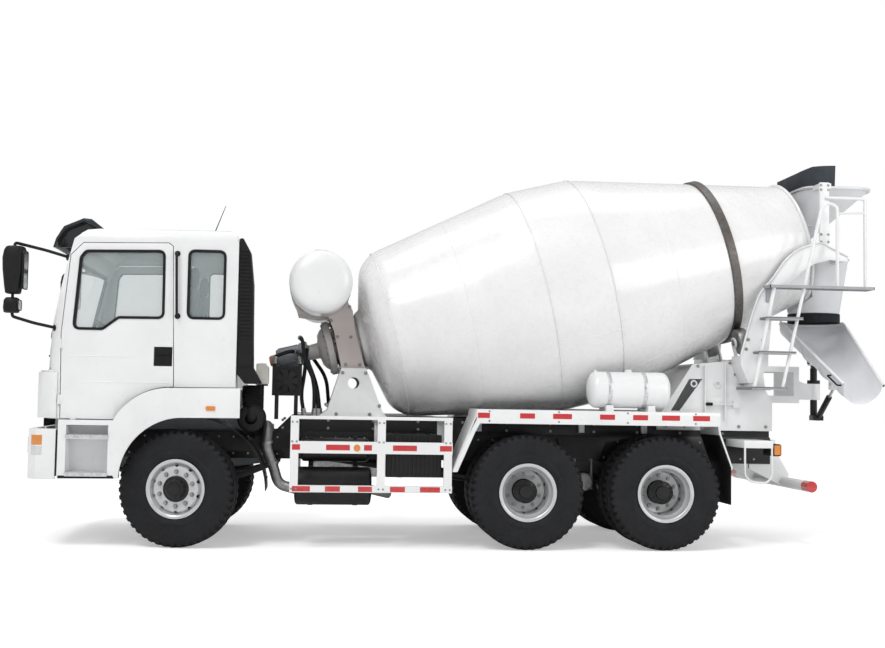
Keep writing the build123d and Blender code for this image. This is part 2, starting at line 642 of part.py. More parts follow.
def make_rear_pedestal():
    with BuildPart() as pedestal:
        for y in (-PLATE_Y, PLATE_Y - PLATE_T):
            slab(((4900, SUB_TOP + 15), (5289, 1900), (5770, 1950), (5790, 1985), (6050, 1985), (6094, 1640), (6170, 1500),
                  (6170, SUB_TOP - 90), (4900, SUB_TOP - 90)), y, y + PLATE_T)
            slab(((5053, 1399), (5253, 1740), (5398, 1743), (5150, 1399)), y - 1, y + PLATE_T + 1, mode=Mode.SUBTRACT)
        # gussets out from the subframe
        for y0, y1 in ((-PLATE_Y + PLATE_T, -RAIL_OUT), (RAIL_OUT, PLATE_Y - PLATE_T)):
            block(4950, 6150, y0, y1, SUB_TOP - 60, SUB_TOP)
        # front slope plate, top plate and rear plate across
        inner = PLATE_Y - PLATE_T
        slab(((4935, SUB_TOP), (5292, 1882), (5310, 1870), (4955, SUB_TOP)), -inner, inner)
        block(5640, 6040, -inner, inner, 1925, 1940)
        block(6040, 6054, -inner, inner, SUB_TOP, 1990)
        # roller stands on the top plate
        for side in (-1, 1):
            centre, along = roller_place(side)
            for end in (-1, 1):
                start = end * (ROLLER_WIDTH / 2 + 24) - 10
                with BuildSketch(Plane(origin=centre + along * start, x_dir=(0, 1, 0), z_dir=along)):
                    Circle(58)
                    with Locations((side * (PLATE_Y - 30) - centre.Y, -140)):
                        Rectangle(56, 280)
                    Circle(AXLE_STUB + GAP, mode=Mode.SUBTRACT)
                extrude(amount=20)
        # rear arms, and the bearing of the chute's swivel
        for y in (-300, 240):
            block(6054, 6560, y, y + 60, 1500, 1580)
            block(6054, 6500, y, y + 60, 1840, 1900)
        block(6500, 6560, -300, 300, 1500, 1900)
        slab(((6560, BEARING_LOW), (CHUTE_X, BEARING_LOW), (CHUTE_X, BEARING_TOP), (CHUTE_X - 120, BEARING_TOP),
              (6560, BEARING_TOP + 60)), -55, 55)
        with Locations(at(CHUTE_X, 0, (BEARING_LOW + BEARING_TOP) / 2)):
            Cylinder(BEARING_RADIUS, BEARING_TOP - BEARING_LOW)
            Cylinder(POST_RADIUS + GAP, BEARING_TOP - BEARING_LOW + 2, mode=Mode.SUBTRACT)
    save(pedestal, "rear_pedestal")


ARM_Y = 765                 # inside of the swan-necked arms
ARM_T = 40
SWAN_OUTER = ((5722, 1990), (5838, 2426), (5923, 2657), (6058, 2807), (6192, 3006), (6328, 3126), (6495, 3189), (6598, 3215),
              (6717, 3152), (6895, 3068))
SWAN_INNER = ((6895, 3010), (6700, 3030), (6530, 2982), (6394, 2900), (6259, 2756), (6083, 2680), (6020, 1990))
POST_X = (6590, 6690)
FUNNEL_LOW = 2500
HOPPER_X = 6955
HOPPER_LENGTH = 790
HOPPER_Z = 3860
THROAT_X = 6610
THROAT_Z = 3330
HOPPER_WALL = 8


def make_hopper_frame():
    with BuildPart() as frame:
        for side in (-1, 1):
            y0, y1 = sorted((side * ARM_Y, side * (ARM_Y + ARM_T)))
            slab(SWAN_OUTER + SWAN_INNER, y0, y1)
            block(*POST_X, y0, y1, 3180, HOPPER_Z)
            # foot that joins the arm to the pedestal's plate
            y2, y3 = sorted((side * PLATE_Y, side * (ARM_Y + ARM_T)))
            slab(((5722, 1990), (6020, 1990), (6020, 1890), (5900, 1700), (5800, 1700), (5722, 1890)), y2, y3)
            # bracket from the post to the hopper's rim
            y4, y5 = sorted((side * 560, side * ARM_Y))
            block(POST_X[0] + 20, POST_X[1] + 40, y4, y5, HOPPER_Z - 60, HOPPER_Z)
            # bracket under the discharge funnel
            y6, y7 = sorted((side * 502.2, side * ARM_Y))
            block(6830, 6900, y6, y7, 3020, 3060)
        drum_room()
    save(frame, "hopper_frame")


def make_hopper():
    with BuildPart() as hopper:
        for wall, mode in ((0, Mode.ADD), (HOPPER_WALL, Mode.SUBTRACT)):
            with BuildSketch(Plane(origin=at(HOPPER_X, 0, HOPPER_Z))):
                RectangleRounded(HOPPER_LENGTH - 2 * wall, 1040 - 2 * wall, 250 - wall)
            with BuildSketch(Plane(origin=at(THROAT_X, 0, THROAT_Z))):
                RectangleRounded(320 - 2 * wall, 420 - 2 * wall, 140 - wall)
            loft(mode=mode)
        # rim and the lugs that sit on the brackets
        with BuildSketch(Plane(origin=at(HOPPER_X, 0, HOPPER_Z - 12))):
            RectangleRounded(HOPPER_LENGTH + 30, 1070, 265)
            RectangleRounded(HOPPER_LENGTH - 2 * HOPPER_WALL, 1040 - 2 * HOPPER_WALL, 250 - HOPPER_WALL, mode=Mode.SUBTRACT)
        extrude(amount=24)
        for side in (-1, 1):
            y0, y1 = sorted((side * 400, side * 640))
            block(6700, 6730, y0, y1, HOPPER_Z + GAP, HOPPER_Z + 12)
    save(hopper, "hopper")


def make_rubber_guards():
    with BuildPart() as rubber:
        # splash apron standing on the hopper's rim
        with BuildSketch(Plane(origin=at(HOPPER_X, 0, HOPPER_Z + 12 + GAP))):
            RectangleRounded(HOPPER_LENGTH + 24, 1064, 262)
            RectangleRounded(HOPPER_LENGTH + 6, 1046, 253, mode=Mode.SUBTRACT)
        extrude(amount=260)
        slab(((6500, 3800), (6500, 4010), (6560, 4058), (6640, 4090), (6880, 4100), (6870, 3800)), -600, 600, mode=Mode.INTERSECT)
        # boot hanging from the discharge funnel
        with Locations(at(CHUTE_X, 0, FUNNEL_LOW - 49)):
            Cylinder(285, 98)
            Cylinder(275 + GAP, 100, mode=Mode.SUBTRACT)
    save(rubber, "rubber_guards")


def make_discharge_funnel():
    with BuildPart() as funnel:
        for wall, mode in ((0, Mode.ADD), (HOPPER_WALL, Mode.SUBTRACT)):
            with BuildSketch(Plane(origin=at(6830, 0, 3080))):
                RectangleRounded(540 - 2 * wall, 1020 - 2 * wall, 200 - wall)
            with BuildSketch(Plane(origin=at(CHUTE_X, 0, FUNNEL_LOW))):
                RectangleRounded(550 - 2 * wall, 550 - 2 * wall, 270 - wall)
            loft(mode=mode)
        with Locations(at(CHUTE_X, 0, FUNNEL_LOW - 15)):
            Cylinder(275, 30)
            Cylinder(267, 32, mode=Mode.SUBTRACT)
        drum_room()
    save(funnel, "discharge_funnel")


LADDER_Y = 960


def make_ladder():
    with BuildPart() as ladder:
        bar(at(5807, -LADDER_Y, 1655), at(6026, -LADDER_Y, 2715), 22)
        bar(at(6110, -LADDER_Y, 1655), at(6540, -LADDER_Y, 3550), 20)
        block(5770, 6150, -LADDER_Y - 40, -PLATE_Y, 1635, 1665)
        for x0, x1, z in ((5838, 6240, 2007), (5912, 6315, 2365)):
            block(x0, x1, -LADDER_Y - 60, -LADDER_Y + 120, z, z + 30)
        block(5963, 7095, -1010, -ARM_Y - ARM_T, 2700, 2730)
        block(5990, 6060, -ARM_Y - ARM_T - 20, -ARM_Y - ARM_T, 2560, 2700)
        # near handrail, bowed over from the ladder's head
        bar(at(6700, -985, 2730), at(6700, -985, 3570), 17)
        bar(at(6540, -LADDER_Y, 3545), at(6610, -970, 3618), 17)
        bar(at(6605, -969, 3615), at(6705, -985, 3560), 17)
        # far handrail, held by the hopper's post
        bar(at(7075, -830, 2730), at(7075, -830, 3705), 17)
        bar(at(6660, -ARM_Y - ARM_T - GAP, 3690), at(6660, -845, 3690), 17)
        bar(at(6650, -830, 3690), at(7090, -830, 3690), 17)
        bar(at(6700, -985, 3500), at(7075, -830, 3540), 12)
    save(ladder, "ladder_platform")


UNDERRUN_X = 6350
UNDERRUN_Z = 648
UNDERRUN_RADIUS = 56
CARRIER = (5690, 6000, 1030, 1107)      # lamp carrier: x from, x to, z from, z to
CARRIER_Y = 1000


def make_underrun():
    x0, x1, z0, z1 = CARRIER
    loop = ((x0 + 12, z0), (x0 + 12, 745), (x0 + 70, 683), (x1 - 70, 672), (x1 - 10, 730), (x1 - 10, z0))
    with BuildPart() as guard:
        with Locations(Location(at(UNDERRUN_X, 0, UNDERRUN_Z), (90, 0, 0))):
            Cylinder(UNDERRUN_RADIUS, 2300)
        for y in (-420, 380):
            slab(((5950, RAIL_LOW), (RAIL_REAR + 12, RAIL_LOW), (RAIL_REAR + 12, 1020), (RAIL_REAR + 62, 1020),
                  (UNDERRUN_X + 50, 725), (UNDERRUN_X - 30, 605), (5950, 790)), y, y + 40)
        block(RAIL_REAR + 12, RAIL_REAR + 62, -460, 460, 1020, 1100)
        for side in (-1, 1):
            y0, y1 = sorted((side * RAIL_OUT, side * CARRIER_Y))
            block(x0, x1, y0, y1, z0, z1)
            # tail lamp, and the loop that guards it
            y2, y3 = sorted((side * 700, side * CARRIER_Y))
            block(x1, x1 + 92, y2, y3, 947, 1076)
            for (xa, za), (xb, zb) in zip(loop, loop[1:]):
                bar(at(xa, side * (CARRIER_Y - 12), za), at(xb, side * (CARRIER_Y - 12), zb), 11)
    save(guard, "underrun_bar")


# ---------------------------------------------------------------- cab
CAB_SIDE = ((-1391, CAB_FLOOR_Z), (-1396, 1690), (-1340, 1720), (-1318, 1941), (-1170, 2623), (-1080, 2985), (-960, 3078),
            (-844, 3092), (407, 3112), (480, 3070), (500, 2980), (500, FENDER_TOP + 14), (-90, FENDER_TOP + 8))
ARCH_MID = (-322, 1523)
ARCH_END = (-652, CAB_FLOOR_Z)


def cab_side_outline(inset=0):
    with BuildLine() as edge:
        Polyline(*CAB_SIDE)
        ThreePointArc(CAB_SIDE[-1], ARCH_MID, ARCH_END)
        Line(ARCH_END, CAB_SIDE[0])
    make_face(edge.line)
    if inset:
        offset(amount=-inset, kind=Kind.INTERSECTION, mode=Mode.REPLACE)


def cab_plan_outline(inset=0):
    """Plan of the cab: a bowed front and rounded corners."""
    with BuildLine() as edge:
        ThreePointArc((-1300, -960), (-1478, 0), (-1300, 960))
        ThreePointArc((-1300, 960), (-1240, 1098), (-1100, CAB_Y))
        Polyline((-1100, CAB_Y), (500, CAB_Y), (500, -CAB_Y), (-1100, -CAB_Y))
        ThreePointArc((-1100, -CAB_Y), (-1240, -1098), (-1300, -960))
    make_face(edge.line)
    if inset:
        offset(amount=-inset, kind=Kind.INTERSECTION, mode=Mode.REPLACE)


ROOF_ROUND = 110


def cab_front_outline(inset=0):
    """The cab from the front: upright sides and rounded roof edges."""
    top = CAB_SIDE[8][1]
    y = CAB_Y - inset
    round_off = ROOF_ROUND - inset
    with BuildLine() as edge:
        Line((-y, 900), (-y, top - ROOF_ROUND))
        RadiusArc((-y, top - ROOF_ROUND), (-y + round_off, top - inset), round_off)
        Line((-y + round_off, top - inset), (y - round_off, top - inset))
        RadiusArc((y - round_off, top - inset), (y, top - ROOF_ROUND), round_off)
        Line((y, top - ROOF_ROUND), (y, 900))
        Line((y, 900), (-y, 900))
    make_face(edge.line)


def cab_solid(inset):
    """The cab's outer form, or with an inset its inner hollow."""
    with BuildPart() as form:
        with BuildSketch(SIDE.offset(CAB_Y + 10)):
            cab_side_outline(inset)
        extrude(amount=-2 * (CAB_Y + 10))
        with BuildSketch(PLAN.offset(1000)):
            cab_plan_outline(inset)
        extrude(amount=2400, mode=Mode.INTERSECT)
        with BuildSketch(cross_plane(-1500)):
            cab_front_outline(inset)
        extrude(amount=2200, mode=Mode.INTERSECT)
        block(-1330 + inset, 600, -TUNNEL_Y - inset, TUNNEL_Y + inset, 1100, TUNNEL_TOP + inset, mode=Mode.SUBTRACT)
    return form.part


NOSE_LOW = 1240
NOSE_TOP = 1684
GRILLE_Y = 640
GRILLE_Z = (1300, 1600)
SLATS = 5


def make_nose():
    """The front panel below the windscreen: bowed, rounded at the corners, with a slatted grille."""
    with BuildPart() as nose:
        with BuildSketch(PLAN.offset(NOSE_LOW)):
            with BuildLine():
                ThreePointArc((-1424, -900), (-1448, 0), (-1424, 900))
                ThreePointArc((-1424, 900), (-1362, 1060), (-1240, CAB_Y - 1))
                Polyline((-1240, CAB_Y - 1), (-1200, CAB_Y - 1), (-1200, -CAB_Y + 1), (-1240, -CAB_Y + 1))
                ThreePointArc((-1240, -CAB_Y + 1), (-1362, -1060), (-1424, -900))
            make_face()
        extrude(amount=NOSE_TOP - NOSE_LOW)
        block(-1460, -1412, -GRILLE_Y, GRILLE_Y, *GRILLE_Z, mode=Mode.SUBTRACT)
        step = (GRILLE_Z[1] - GRILLE_Z[0]) / (SLATS + 1)
        for number in range(1, SLATS + 1):
            z = GRILLE_Z[0] + number * step
            block(-1436, -1410, -GRILLE_Y, GRILLE_Y, z - 10, z + 10)
        add(cab_solid(0), mode=Mode.SUBTRACT)
    return nose.part


HINGE_X = -1180
HINGE_RADIUS = 12
HINGE_HEIGHT = 90
HINGES = (1420, 1960)


def hinge_barrels(side, radius, height, mode=Mode.ADD):
    """Upright barrels on a door's front edge, on the axis that it turns about."""
    with Locations(*(at(HINGE_X, side * CAB_Y, z) for z in HINGES)):
        Cylinder(radius, height, mode=mode)


def hinge_leaves(side):
    """The plates that carry the barrels on the door's edge."""
    y0, y1 = sorted((side * (CAB_Y - HINGE_RADIUS), side * CAB_Y))
    for z in HINGES:
        block(HINGE_X, HINGE_X + 35, y0, y1, z - HINGE_HEIGHT / 2, z + HINGE_HEIGHT / 2)


HANDLE_X = (-293, -115)
HANDLE_Z = (1757, 1947)


def cut_handle(side):
    """The recess of a door's handle and the bar across it."""
    y0, y1 = sorted((side * (CAB_Y - 14), side * (CAB_Y + 5)))
    block(*HANDLE_X, y0, y1, *HANDLE_Z, mode=Mode.SUBTRACT)
    y2, y3 = sorted((side * (CAB_Y - 16), side * (CAB_Y - 2)))
    block(HANDLE_X[0] + 16, HANDLE_X[1] - 16, y2, y3, HANDLE_Z[1] - 76, HANDLE_Z[1] - 20)


DOOR_CORNERS = ((-1160, 1240), (-1176, 2066), (-1106, 2824), (-991, 2942), (-178, 2962), (-138, 2931), (-99, FENDER_TOP + 11))
WINDOW_CORNERS = ((-1060, 2112), (-790, 2112), (-640, 2228), (-216, 2232), (-221, 2880), (-965, 2862), (-1010, 2800))


def door_outline():
    with BuildLine() as edge:
        Polyline(*DOOR_CORNERS)
        ThreePointArc(DOOR_CORNERS[-1], ARCH_MID, ARCH_END)
        Line(ARCH_END, DOOR_CORNERS[0])
    make_face(edge.line)


WINDSCREEN = (2000, 780, 90, 2400)      # width, height, corner radius, height of its middle
QUARTER = (345, 660, 60, 197, 2565)     # length, height, corner radius, middle along the truck, height of its middle
REAR_WINDOW = (1200, 560, 60, 2560)
GLASS = 6
GLASS_INSET = 22


def windscreen_cut(gap, mode):
    width, height, corner, z = WINDSCREEN
    with BuildSketch(cross_plane(-1000)) as hole:
        with Locations((0, z)):
            RectangleRounded(width - 2 * gap, height - 2 * gap, corner - gap)
    extrude(hole.sketch, amount=-700, mode=mode)


def quarter_cut(gap, mode):
    length, height, corner, x, z = QUARTER
    with BuildSketch(SIDE.offset(CAB_Y + 20)) as hole:
        with Locations((x, z)):
            RectangleRounded(length - 2 * gap, height - 2 * gap, corner - gap)
    extrude(hole.sketch, amount=-2 * CAB_Y - 40, mode=mode)


def rear_window_cut(gap, mode):
    width, height, corner, z = REAR_WINDOW
    with BuildSketch(cross_plane(400)) as hole:
        with Locations((0, z)):
            RectangleRounded(width - 2 * gap, height - 2 * gap, corner - gap)
    extrude(hole.sketch, amount=200, mode=mode)


def door_window_cut(y, gap, mode):
    with BuildSketch(SIDE.offset(y)) as hole:
        with BuildLine():
            Polyline(*WINDOW_CORNERS, close=True)
        make_face()
        if gap:
            offset(amount=-gap, kind=Kind.INTERSECTION, mode=Mode.REPLACE)
    extrude(hole.sketch, amount=-CAB_WALL - 40, mode=mode)


SILL_TOP = 1600             # height of the seam over a door's curved sill
SILL_SEAMS = (-652, -540, -430, -310, -195)


def part_sill(side):
    """Hairline seams that part a door's curved sill into short panels."""
    y0, y1 = sorted((side * (CAB_Y - CAB_WALL - 40), side * (CAB_Y + 20)))
    block(-1200, -90, y0, y1, SILL_TOP, SILL_TOP + GAP, mode=Mode.SUBTRACT)
    for x in SILL_SEAMS:
        block(x, x + GAP, y0, y1, 1220, SILL_TOP, mode=Mode.SUBTRACT)


def make_cab():
    shell = cab_solid(0) - cab_solid(CAB_WALL)
    sheet = cab_solid(GLASS_INSET) - cab_solid(GLASS_INSET + GLASS)
    door_sides = ((-1, "left", CAB_Y + 20), (1, "right", -CAB_Y + CAB_WALL + 20))
    with BuildPart() as cab:
        add(shell)
        add(make_nose())
        # door openings, a gap larger than the doors
        for _, _, y in door_sides:
            with BuildSketch(SIDE.offset(y)):
                door_outline()
                offset(amount=MOVE_GAP, kind=Kind.INTERSECTION)
            extrude(amount=-CAB_WALL - 40, mode=Mode.SUBTRACT)
        for side in (-1, 1):
            hinge_barrels(side, HINGE_RADIUS + MOVE_GAP, HINGE_HEIGHT + 2 * MOVE_GAP, Mode.SUBTRACT)
        windscreen_cut(0, Mode.SUBTRACT)
        quarter_cut(0, Mode.SUBTRACT)
        rear_window_cut(0, Mode.SUBTRACT)
        # tilt arms with the bore for the tilt pin
        for side in (-1, 1):
            y0, y1 = sorted((side * TILT_LUG_Y, side * (TILT_LUG_Y + TILT_LUG)))
            slab(((TILT_X - 38, TILT_Z - 38), (TILT_X + 38, TILT_Z - 38), (TILT_X + 70, CAB_FLOOR_Z + 20),
                  (TILT_X - 20, CAB_FLOOR_Z + 20)), y0, y1)
        with Locations(Location(at(TILT_X, 0, TILT_Z), (90, 0, 0))):
            Cylinder(TILT_PIN + GAP, 2 * CAB_Y, mode=Mode.SUBTRACT)
    save(cab, "cab_shell")
    panes = []
    for cut in (windscreen_cut, quarter_cut, rear_window_cut):
        with BuildPart() as pane:
            add(sheet)
            cut(GAP, Mode.INTERSECT)
        panes.append(pane.part)
    with BuildPart() as glass:
        add(panes)
    save(glass, "cab_glass")
    for side, name, y in door_sides:
        with BuildPart() as door:
            add(shell)
            with BuildSketch(SIDE.offset(y)):
                door_outline()
            extrude(amount=-CAB_WALL - 40, mode=Mode.INTERSECT)
            door_window_cut(y, 0, Mode.SUBTRACT)
            cut_handle(side)
            hinge_barrels(side, HINGE_RADIUS, HINGE_HEIGHT)
            hinge_leaves(side)
            part_sill(side)
        save(door, f"door_{name}")
        with BuildPart() as pane:
            add(sheet)
            door_window_cut(y, GAP, Mode.INTERSECT)
        save(pane, f"door_glass_{name}")


LOUVRES = 18
LOUVRE_LOW = 2100
LOUVRE_STEP = 44
LOUVRE_X = (525, 600)


def make_cab_fittings():
    with BuildPart() as visor:
        with BuildSketch(SIDE.offset(900)):
            with BuildLine():
                Polyline((-1335, 2921), (-1309, 3012), (-1236, 3134), (-1046, 3220), (-968, 3212), (-840, 3112), (-860, 3100),
                         (-1040, 3190), (-1220, 3110), (-1290, 3000), (-1310, 2921), close=True)
            make_face()
        extrude(amount=-1800)
        for y in (-715, -15, 685):
            slab(((-1300, 2940), (-1050, 2940), (-900, 3090), (-1040, 3192), (-1222, 3112), (-1292, 3002)), y, y + 30)
        add(cab_solid(-GAP), mode=Mode.SUBTRACT)
    save(visor, "sun_visor")
    with BuildPart() as mirrors:
        # main housing and wide-angle housing: height, middle along the truck, length, width of each section
        for sections in (((2415, -1598, 110, 150), (2690, -1594, 212, 200), (2870, -1582, 160, 170)),
                         ((2233, -1606, 110, 140), (2300, -1605, 150, 176), (2380, -1604, 110, 140))):
            for z, x, length, width in sections:
                with BuildSketch(Plane(origin=at(x, -1340, z))):
                    RectangleRounded(length, width, 40)
            loft(ruled=True)
        bar(at(-1600, -1340, 2370), at(-1600, -1340, 2425), 14)
        tube_run((at(-1600, -1340, 2860), at(-1596, -1336, 2905), at(-1330, -1200, 2852), at(-1130, -1095, 2800)), 14, (20, 60))
        tube_run((at(-1600, -1340, 2250), at(-1596, -1330, 2200), at(-1430, -1190, 2150), at(-1240, -1070, 2110)), 14, (20, 60))
        mirror(about=Plane.XZ)
        add(cab_solid(-GAP), mode=Mode.SUBTRACT)
    save(mirrors, "mirrors")
    with BuildPart() as intake:
        with BuildSketch(SIDE.offset(1130)):
            with BuildLine():
                Polyline((500 + GAP, 3040), (540, 3041), (616, 2908), (650, 2595), (664, 1760), (745, 1618), (580, 1600),
                         (500 + GAP, 1700), close=True)
            make_face()
        extrude(amount=-300)
        fillet(intake.edges().filter_by(Plane.XZ).sort_by(Axis.X)[-6:], 14)
        for number in range(LOUVRES):
            z = LOUVRE_LOW + number * LOUVRE_STEP
            block(LOUVRE_X[0], LOUVRE_X[1], -1131, -1122, z, z + 14, mode=Mode.SUBTRACT)
    save(intake, "air_intake")
    with BuildPart() as inside:
        for y in (-560, 560):
            block(-560, -60, y - 250, y + 250, 1700, 1900)
            y0, y1 = sorted((y - y / 560 * 200, TUNNEL_Y * y / 560))
            block(-520, -100, y0, y1, TUNNEL_TOP + CAB_WALL + GAP, 1700)
            slab(((-120, 1880), (-20, 1880), (60, 2560), (-40, 2560)), y - 240, y + 240)
        with BuildPart(mode=Mode.PRIVATE) as dash:
            add(cab_solid(CAB_WALL + GAP))
            slab(((-1500, 1760), (-940, 1760), (-880, 1960), (-1010, 2000), (-1500, 2000)), -CAB_Y + CAB_WALL + 60,
                 CAB_Y - CAB_WALL - 60, mode=Mode.INTERSECT)
        add(dash.part)
        # steering column and wheel in front of the left seat
        foot, hub = at(-930, -560, 1860), at(-770, -560, 2080)
        bar(foot, hub, 26)
        with Locations(Plane(origin=hub, z_dir=hub - foot)):
            Torus(225, 15)
            Box(440, 30, 18)
            Cylinder(55, 30)
    save(inside, "cab_interior")


# ---------------------------------------------------------------- wheels and steering
def wheel_place(x, side, centre_y, turned=False):
    """The middle of a wheel and the direction in which its axle points outwards."""
    outward = Vector(0, side, 0)
    pivot_y = KINGPIN_Y if turned else centre_y
    if turned:
        outward = outward.rotate(Axis.Z, STEER_REST)
    return at(x, side * pivot_y, AXLE_Z) + outward * (centre_y - pivot_y), outward


def section_plane(centre, outward):
    """A plane through the axle: x outwards, y up."""
    return Plane(origin=centre, x_dir=outward, z_dir=outward.cross(Vector(0, 0, 1)))


def add_tyre(centre, outward):
    w = TYRE_WIDTH / 2
    with BuildSketch(section_plane(centre, outward)) as section:
        with BuildLine():
            Polyline((-w * 0.75, BEAD_RADIUS), (w * 0.75, BEAD_RADIUS), (w * 0.85, 300), (w, 400), (w * 0.97, 470),
                     (w * 0.87, 545), (w * 0.6, TYRE_RADIUS), (-w * 0.6, TYRE_RADIUS), (-w * 0.87, 545), (-w * 0.97, 470),
                     (-w, 400), (-w * 0.85, 300), close=True)
        make_face()
    revolve(section.sketch, axis=Axis(centre, outward))


def add_rim(centre, outward, disc):
    """A barrel with lips and a disc whose face stands at disc, measured outwards."""
    b = BEAD_RADIUS - GAP
    h = RIM_WIDTH / 2
    sign = 1 if disc > 0 else -1
    with BuildSketch(section_plane(centre, outward)) as section:
        with BuildLine():
            Polyline((-h - 16, b), (h + 16, b), (h + 16, b - RIM_WALL), (-h - 16, b - RIM_WALL), close=True)
        make_face()
        with BuildLine():
            Polyline((disc, 90), (disc, 215), (disc - sign * 55, b - 2), (disc - sign * (55 + DISC_WALL), b - 2),
                     (disc - sign * DISC_WALL, 212), (disc - sign * DISC_WALL, 90), close=True)
        make_face()
    revolve(section.sketch, axis=Axis(centre, outward))
    with BuildSketch(Plane(origin=centre + outward * (disc - sign * 80), z_dir=outward * sign)) as holes:
        with PolarLocations(HAND_HOLE_CIRCLE, HAND_HOLES):
            Circle(HAND_HOLE_RADIUS)
    extrude(holes.sketch, amount=90, mode=Mode.SUBTRACT)


def add_hub(centre, outward, start, stop, radius, mode=Mode.ADD):
    p = centre + outward * start
    with BuildSketch(Plane(origin=p, z_dir=outward)) as section:
        Circle(radius)
    extrude(section.sketch, amount=stop - start, mode=mode)


def make_wheels():
    for side, name in ((-1, "left"), (1, "right")):
        centre, outward = wheel_place(0, side, FRONT_TYRE_Y, turned=True)
        with BuildPart() as tyre:
            add_tyre(centre, outward)
        save(tyre, f"tyre_front_{name}")
        with BuildPart() as wheel:
            add_rim(centre, outward, 108)
            add_hub(centre, outward, 20, 150, 100)
            add_hub(centre, outward, 20, 100 - 8, 190)
            add_hub(centre, outward, 20, 20 + SPINDLE, SPINDLE_RADIUS + GAP, Mode.SUBTRACT)
        save(wheel, f"wheel_front_{name}")
    for row, x in zip(("mid", "rear"), REAR_AXLES):
        for side, name in ((-1, "left"), (1, "right")):
            middle, outward = wheel_place(x, side, REAR_TYRE_Y)
            with BuildPart() as tyres:
                for step in (-TWIN_SPACING / 2, TWIN_SPACING / 2):
                    add_tyre(middle + outward * step, outward)
            save(tyres, f"tyres_{row}_{name}")
            with BuildPart() as wheels:
                add_rim(middle + outward * (TWIN_SPACING / 2), outward, -TWIN_SPACING / 2 + 14)
                add_rim(middle - outward * (TWIN_SPACING / 2), outward, TWIN_SPACING / 2 - 0.0)
                add_hub(middle, outward, -HUB_REACH, 150, 110)
                add_hub(middle, outward, -HUB_REACH, -HUB_REACH + 200, SPINDLE_RADIUS + GAP, Mode.SUBTRACT)
            save(wheels, f"wheels_{row}_{name}")


TIE_ARM = 210
TIE_Z = 400


def make_steering():
    for side, name in ((-1, "left"), (1, "right")):
        centre, outward = wheel_place(0, side, FRONT_TYRE_Y, turned=True)
        back = Vector(1, 0, 0).rotate(Axis.Z, STEER_REST)
        pivot = at(0, side * KINGPIN_Y, AXLE_Z)
        with BuildPart() as knuckle:
            for z0, z1 in ((56, 105), (-105, -56)):
                with Locations(pivot + Vector(0, 0, (z0 + z1) / 2)):
                    Cylinder(50, z1 - z0)
            with BuildSketch(Plane(origin=pivot + outward * 62, z_dir=outward)):
                Rectangle(90, 210)
            extrude(amount=20)
            for z in (80, -80):
                with BuildSketch(Plane(origin=pivot + Vector(0, 0, z) + outward * 20, z_dir=outward)):
                    Rectangle(90, 48)
                extrude(amount=50)
            with BuildSketch(Plane(origin=pivot + outward * 80, z_dir=outward)):
                Circle(SPINDLE_RADIUS)
            extrude(amount=FRONT_TYRE_Y - KINGPIN_Y - 60 + SPINDLE - 10)
            with Locations(pivot):
                Cylinder(24.8, 260, mode=Mode.SUBTRACT)
            # arm to the track rod
            tip = pivot + back * TIE_ARM
            bar(pivot + Vector(0, 0, -90), tip + Vector(0, 0, -90), 22)
            bar(tip + Vector(0, 0, -68), tip + Vector(0, 0, TIE_Z - AXLE_Z + 25 + GAP), 20)
            with Locations(pivot):
                Cylinder(24.8, 260, mode=Mode.SUBTRACT)
        save(knuckle, f"knuckle_{name}")
    back = Vector(1, 0, 0).rotate(Axis.Z, STEER_REST)
    tips = [at(0, side * KINGPIN_Y, TIE_Z) + back * TIE_ARM for side in (-1, 1)]
    with BuildPart() as rod:
        bar(tips[0], tips[1], 20)
        for tip in tips:
            with Locations(tip):
                Cylinder(24, 50)
    save(rod, "track_rod")


# ---------------------------------------------------------------- drum


def make_drum():
    t = DRUM_WALL
    with BuildPart() as drum:
        with BuildSketch(DRUM):
            with BuildLine():
                Polyline((0, 0), (0, 300), (60, 330), (170, 770), (329, 903), (1912, 1232), BELLY, MOUTH,
                         (MOUTH[0], MOUTH[1] - t), (BELLY[0], BELLY[1] - t), (1912, 1232 - t), (334, 903 - t), (182, 770 - t), (70, 320),
                         (60, 0), close=True)
            make_face()
        revolve(axis=DRUM_AXIS)
        with BuildSketch(DRUM):
            with BuildLine():
                Polyline((MOUTH[0] - 40, MOUTH[1] - 6), (MOUTH[0] - 40, MOUTH[1] + 36), (MOUTH[0], MOUTH[1] + 36),
                         (MOUTH[0], MOUTH[1] - 6), close=True)
            make_face()
        revolve(axis=DRUM_AXIS)
    save(drum, "drum_shell")
    with BuildPart() as ring:
        slope = (BELLY[1] - MOUTH[1]) / (MOUTH[0] - BELLY[0])
        s0, s1 = RING_S - RING_WIDTH / 2, RING_S + RING_WIDTH / 2
        r0, r1 = (BELLY[1] - slope * (s - BELLY[0]) + GAP for s in (s0, s1))
        with BuildSketch(DRUM):
            with BuildLine():
                Polyline((s0, r0), (s0, RING_RADIUS), (s1, RING_RADIUS), (s1, r1), close=True)
            make_face()
        revolve(axis=DRUM_AXIS)
    save(ring, "drum_ring")


def make_rollers():
    for side, name in ((-1, "left"), (1, "right")):
        centre, along = roller_place(side)
        with BuildPart() as roller:
            with BuildSketch(Plane(origin=centre - along * ROLLER_WIDTH / 2, z_dir=along)):
                Circle(ROLLER_RADIUS)
            extrude(amount=ROLLER_WIDTH)
            with BuildSketch(Plane(origin=centre - along * (ROLLER_WIDTH / 2 + 40), z_dir=along)):
                Circle(AXLE_STUB)
            extrude(amount=ROLLER_WIDTH + 80)
        save(roller, f"roller_{name}")


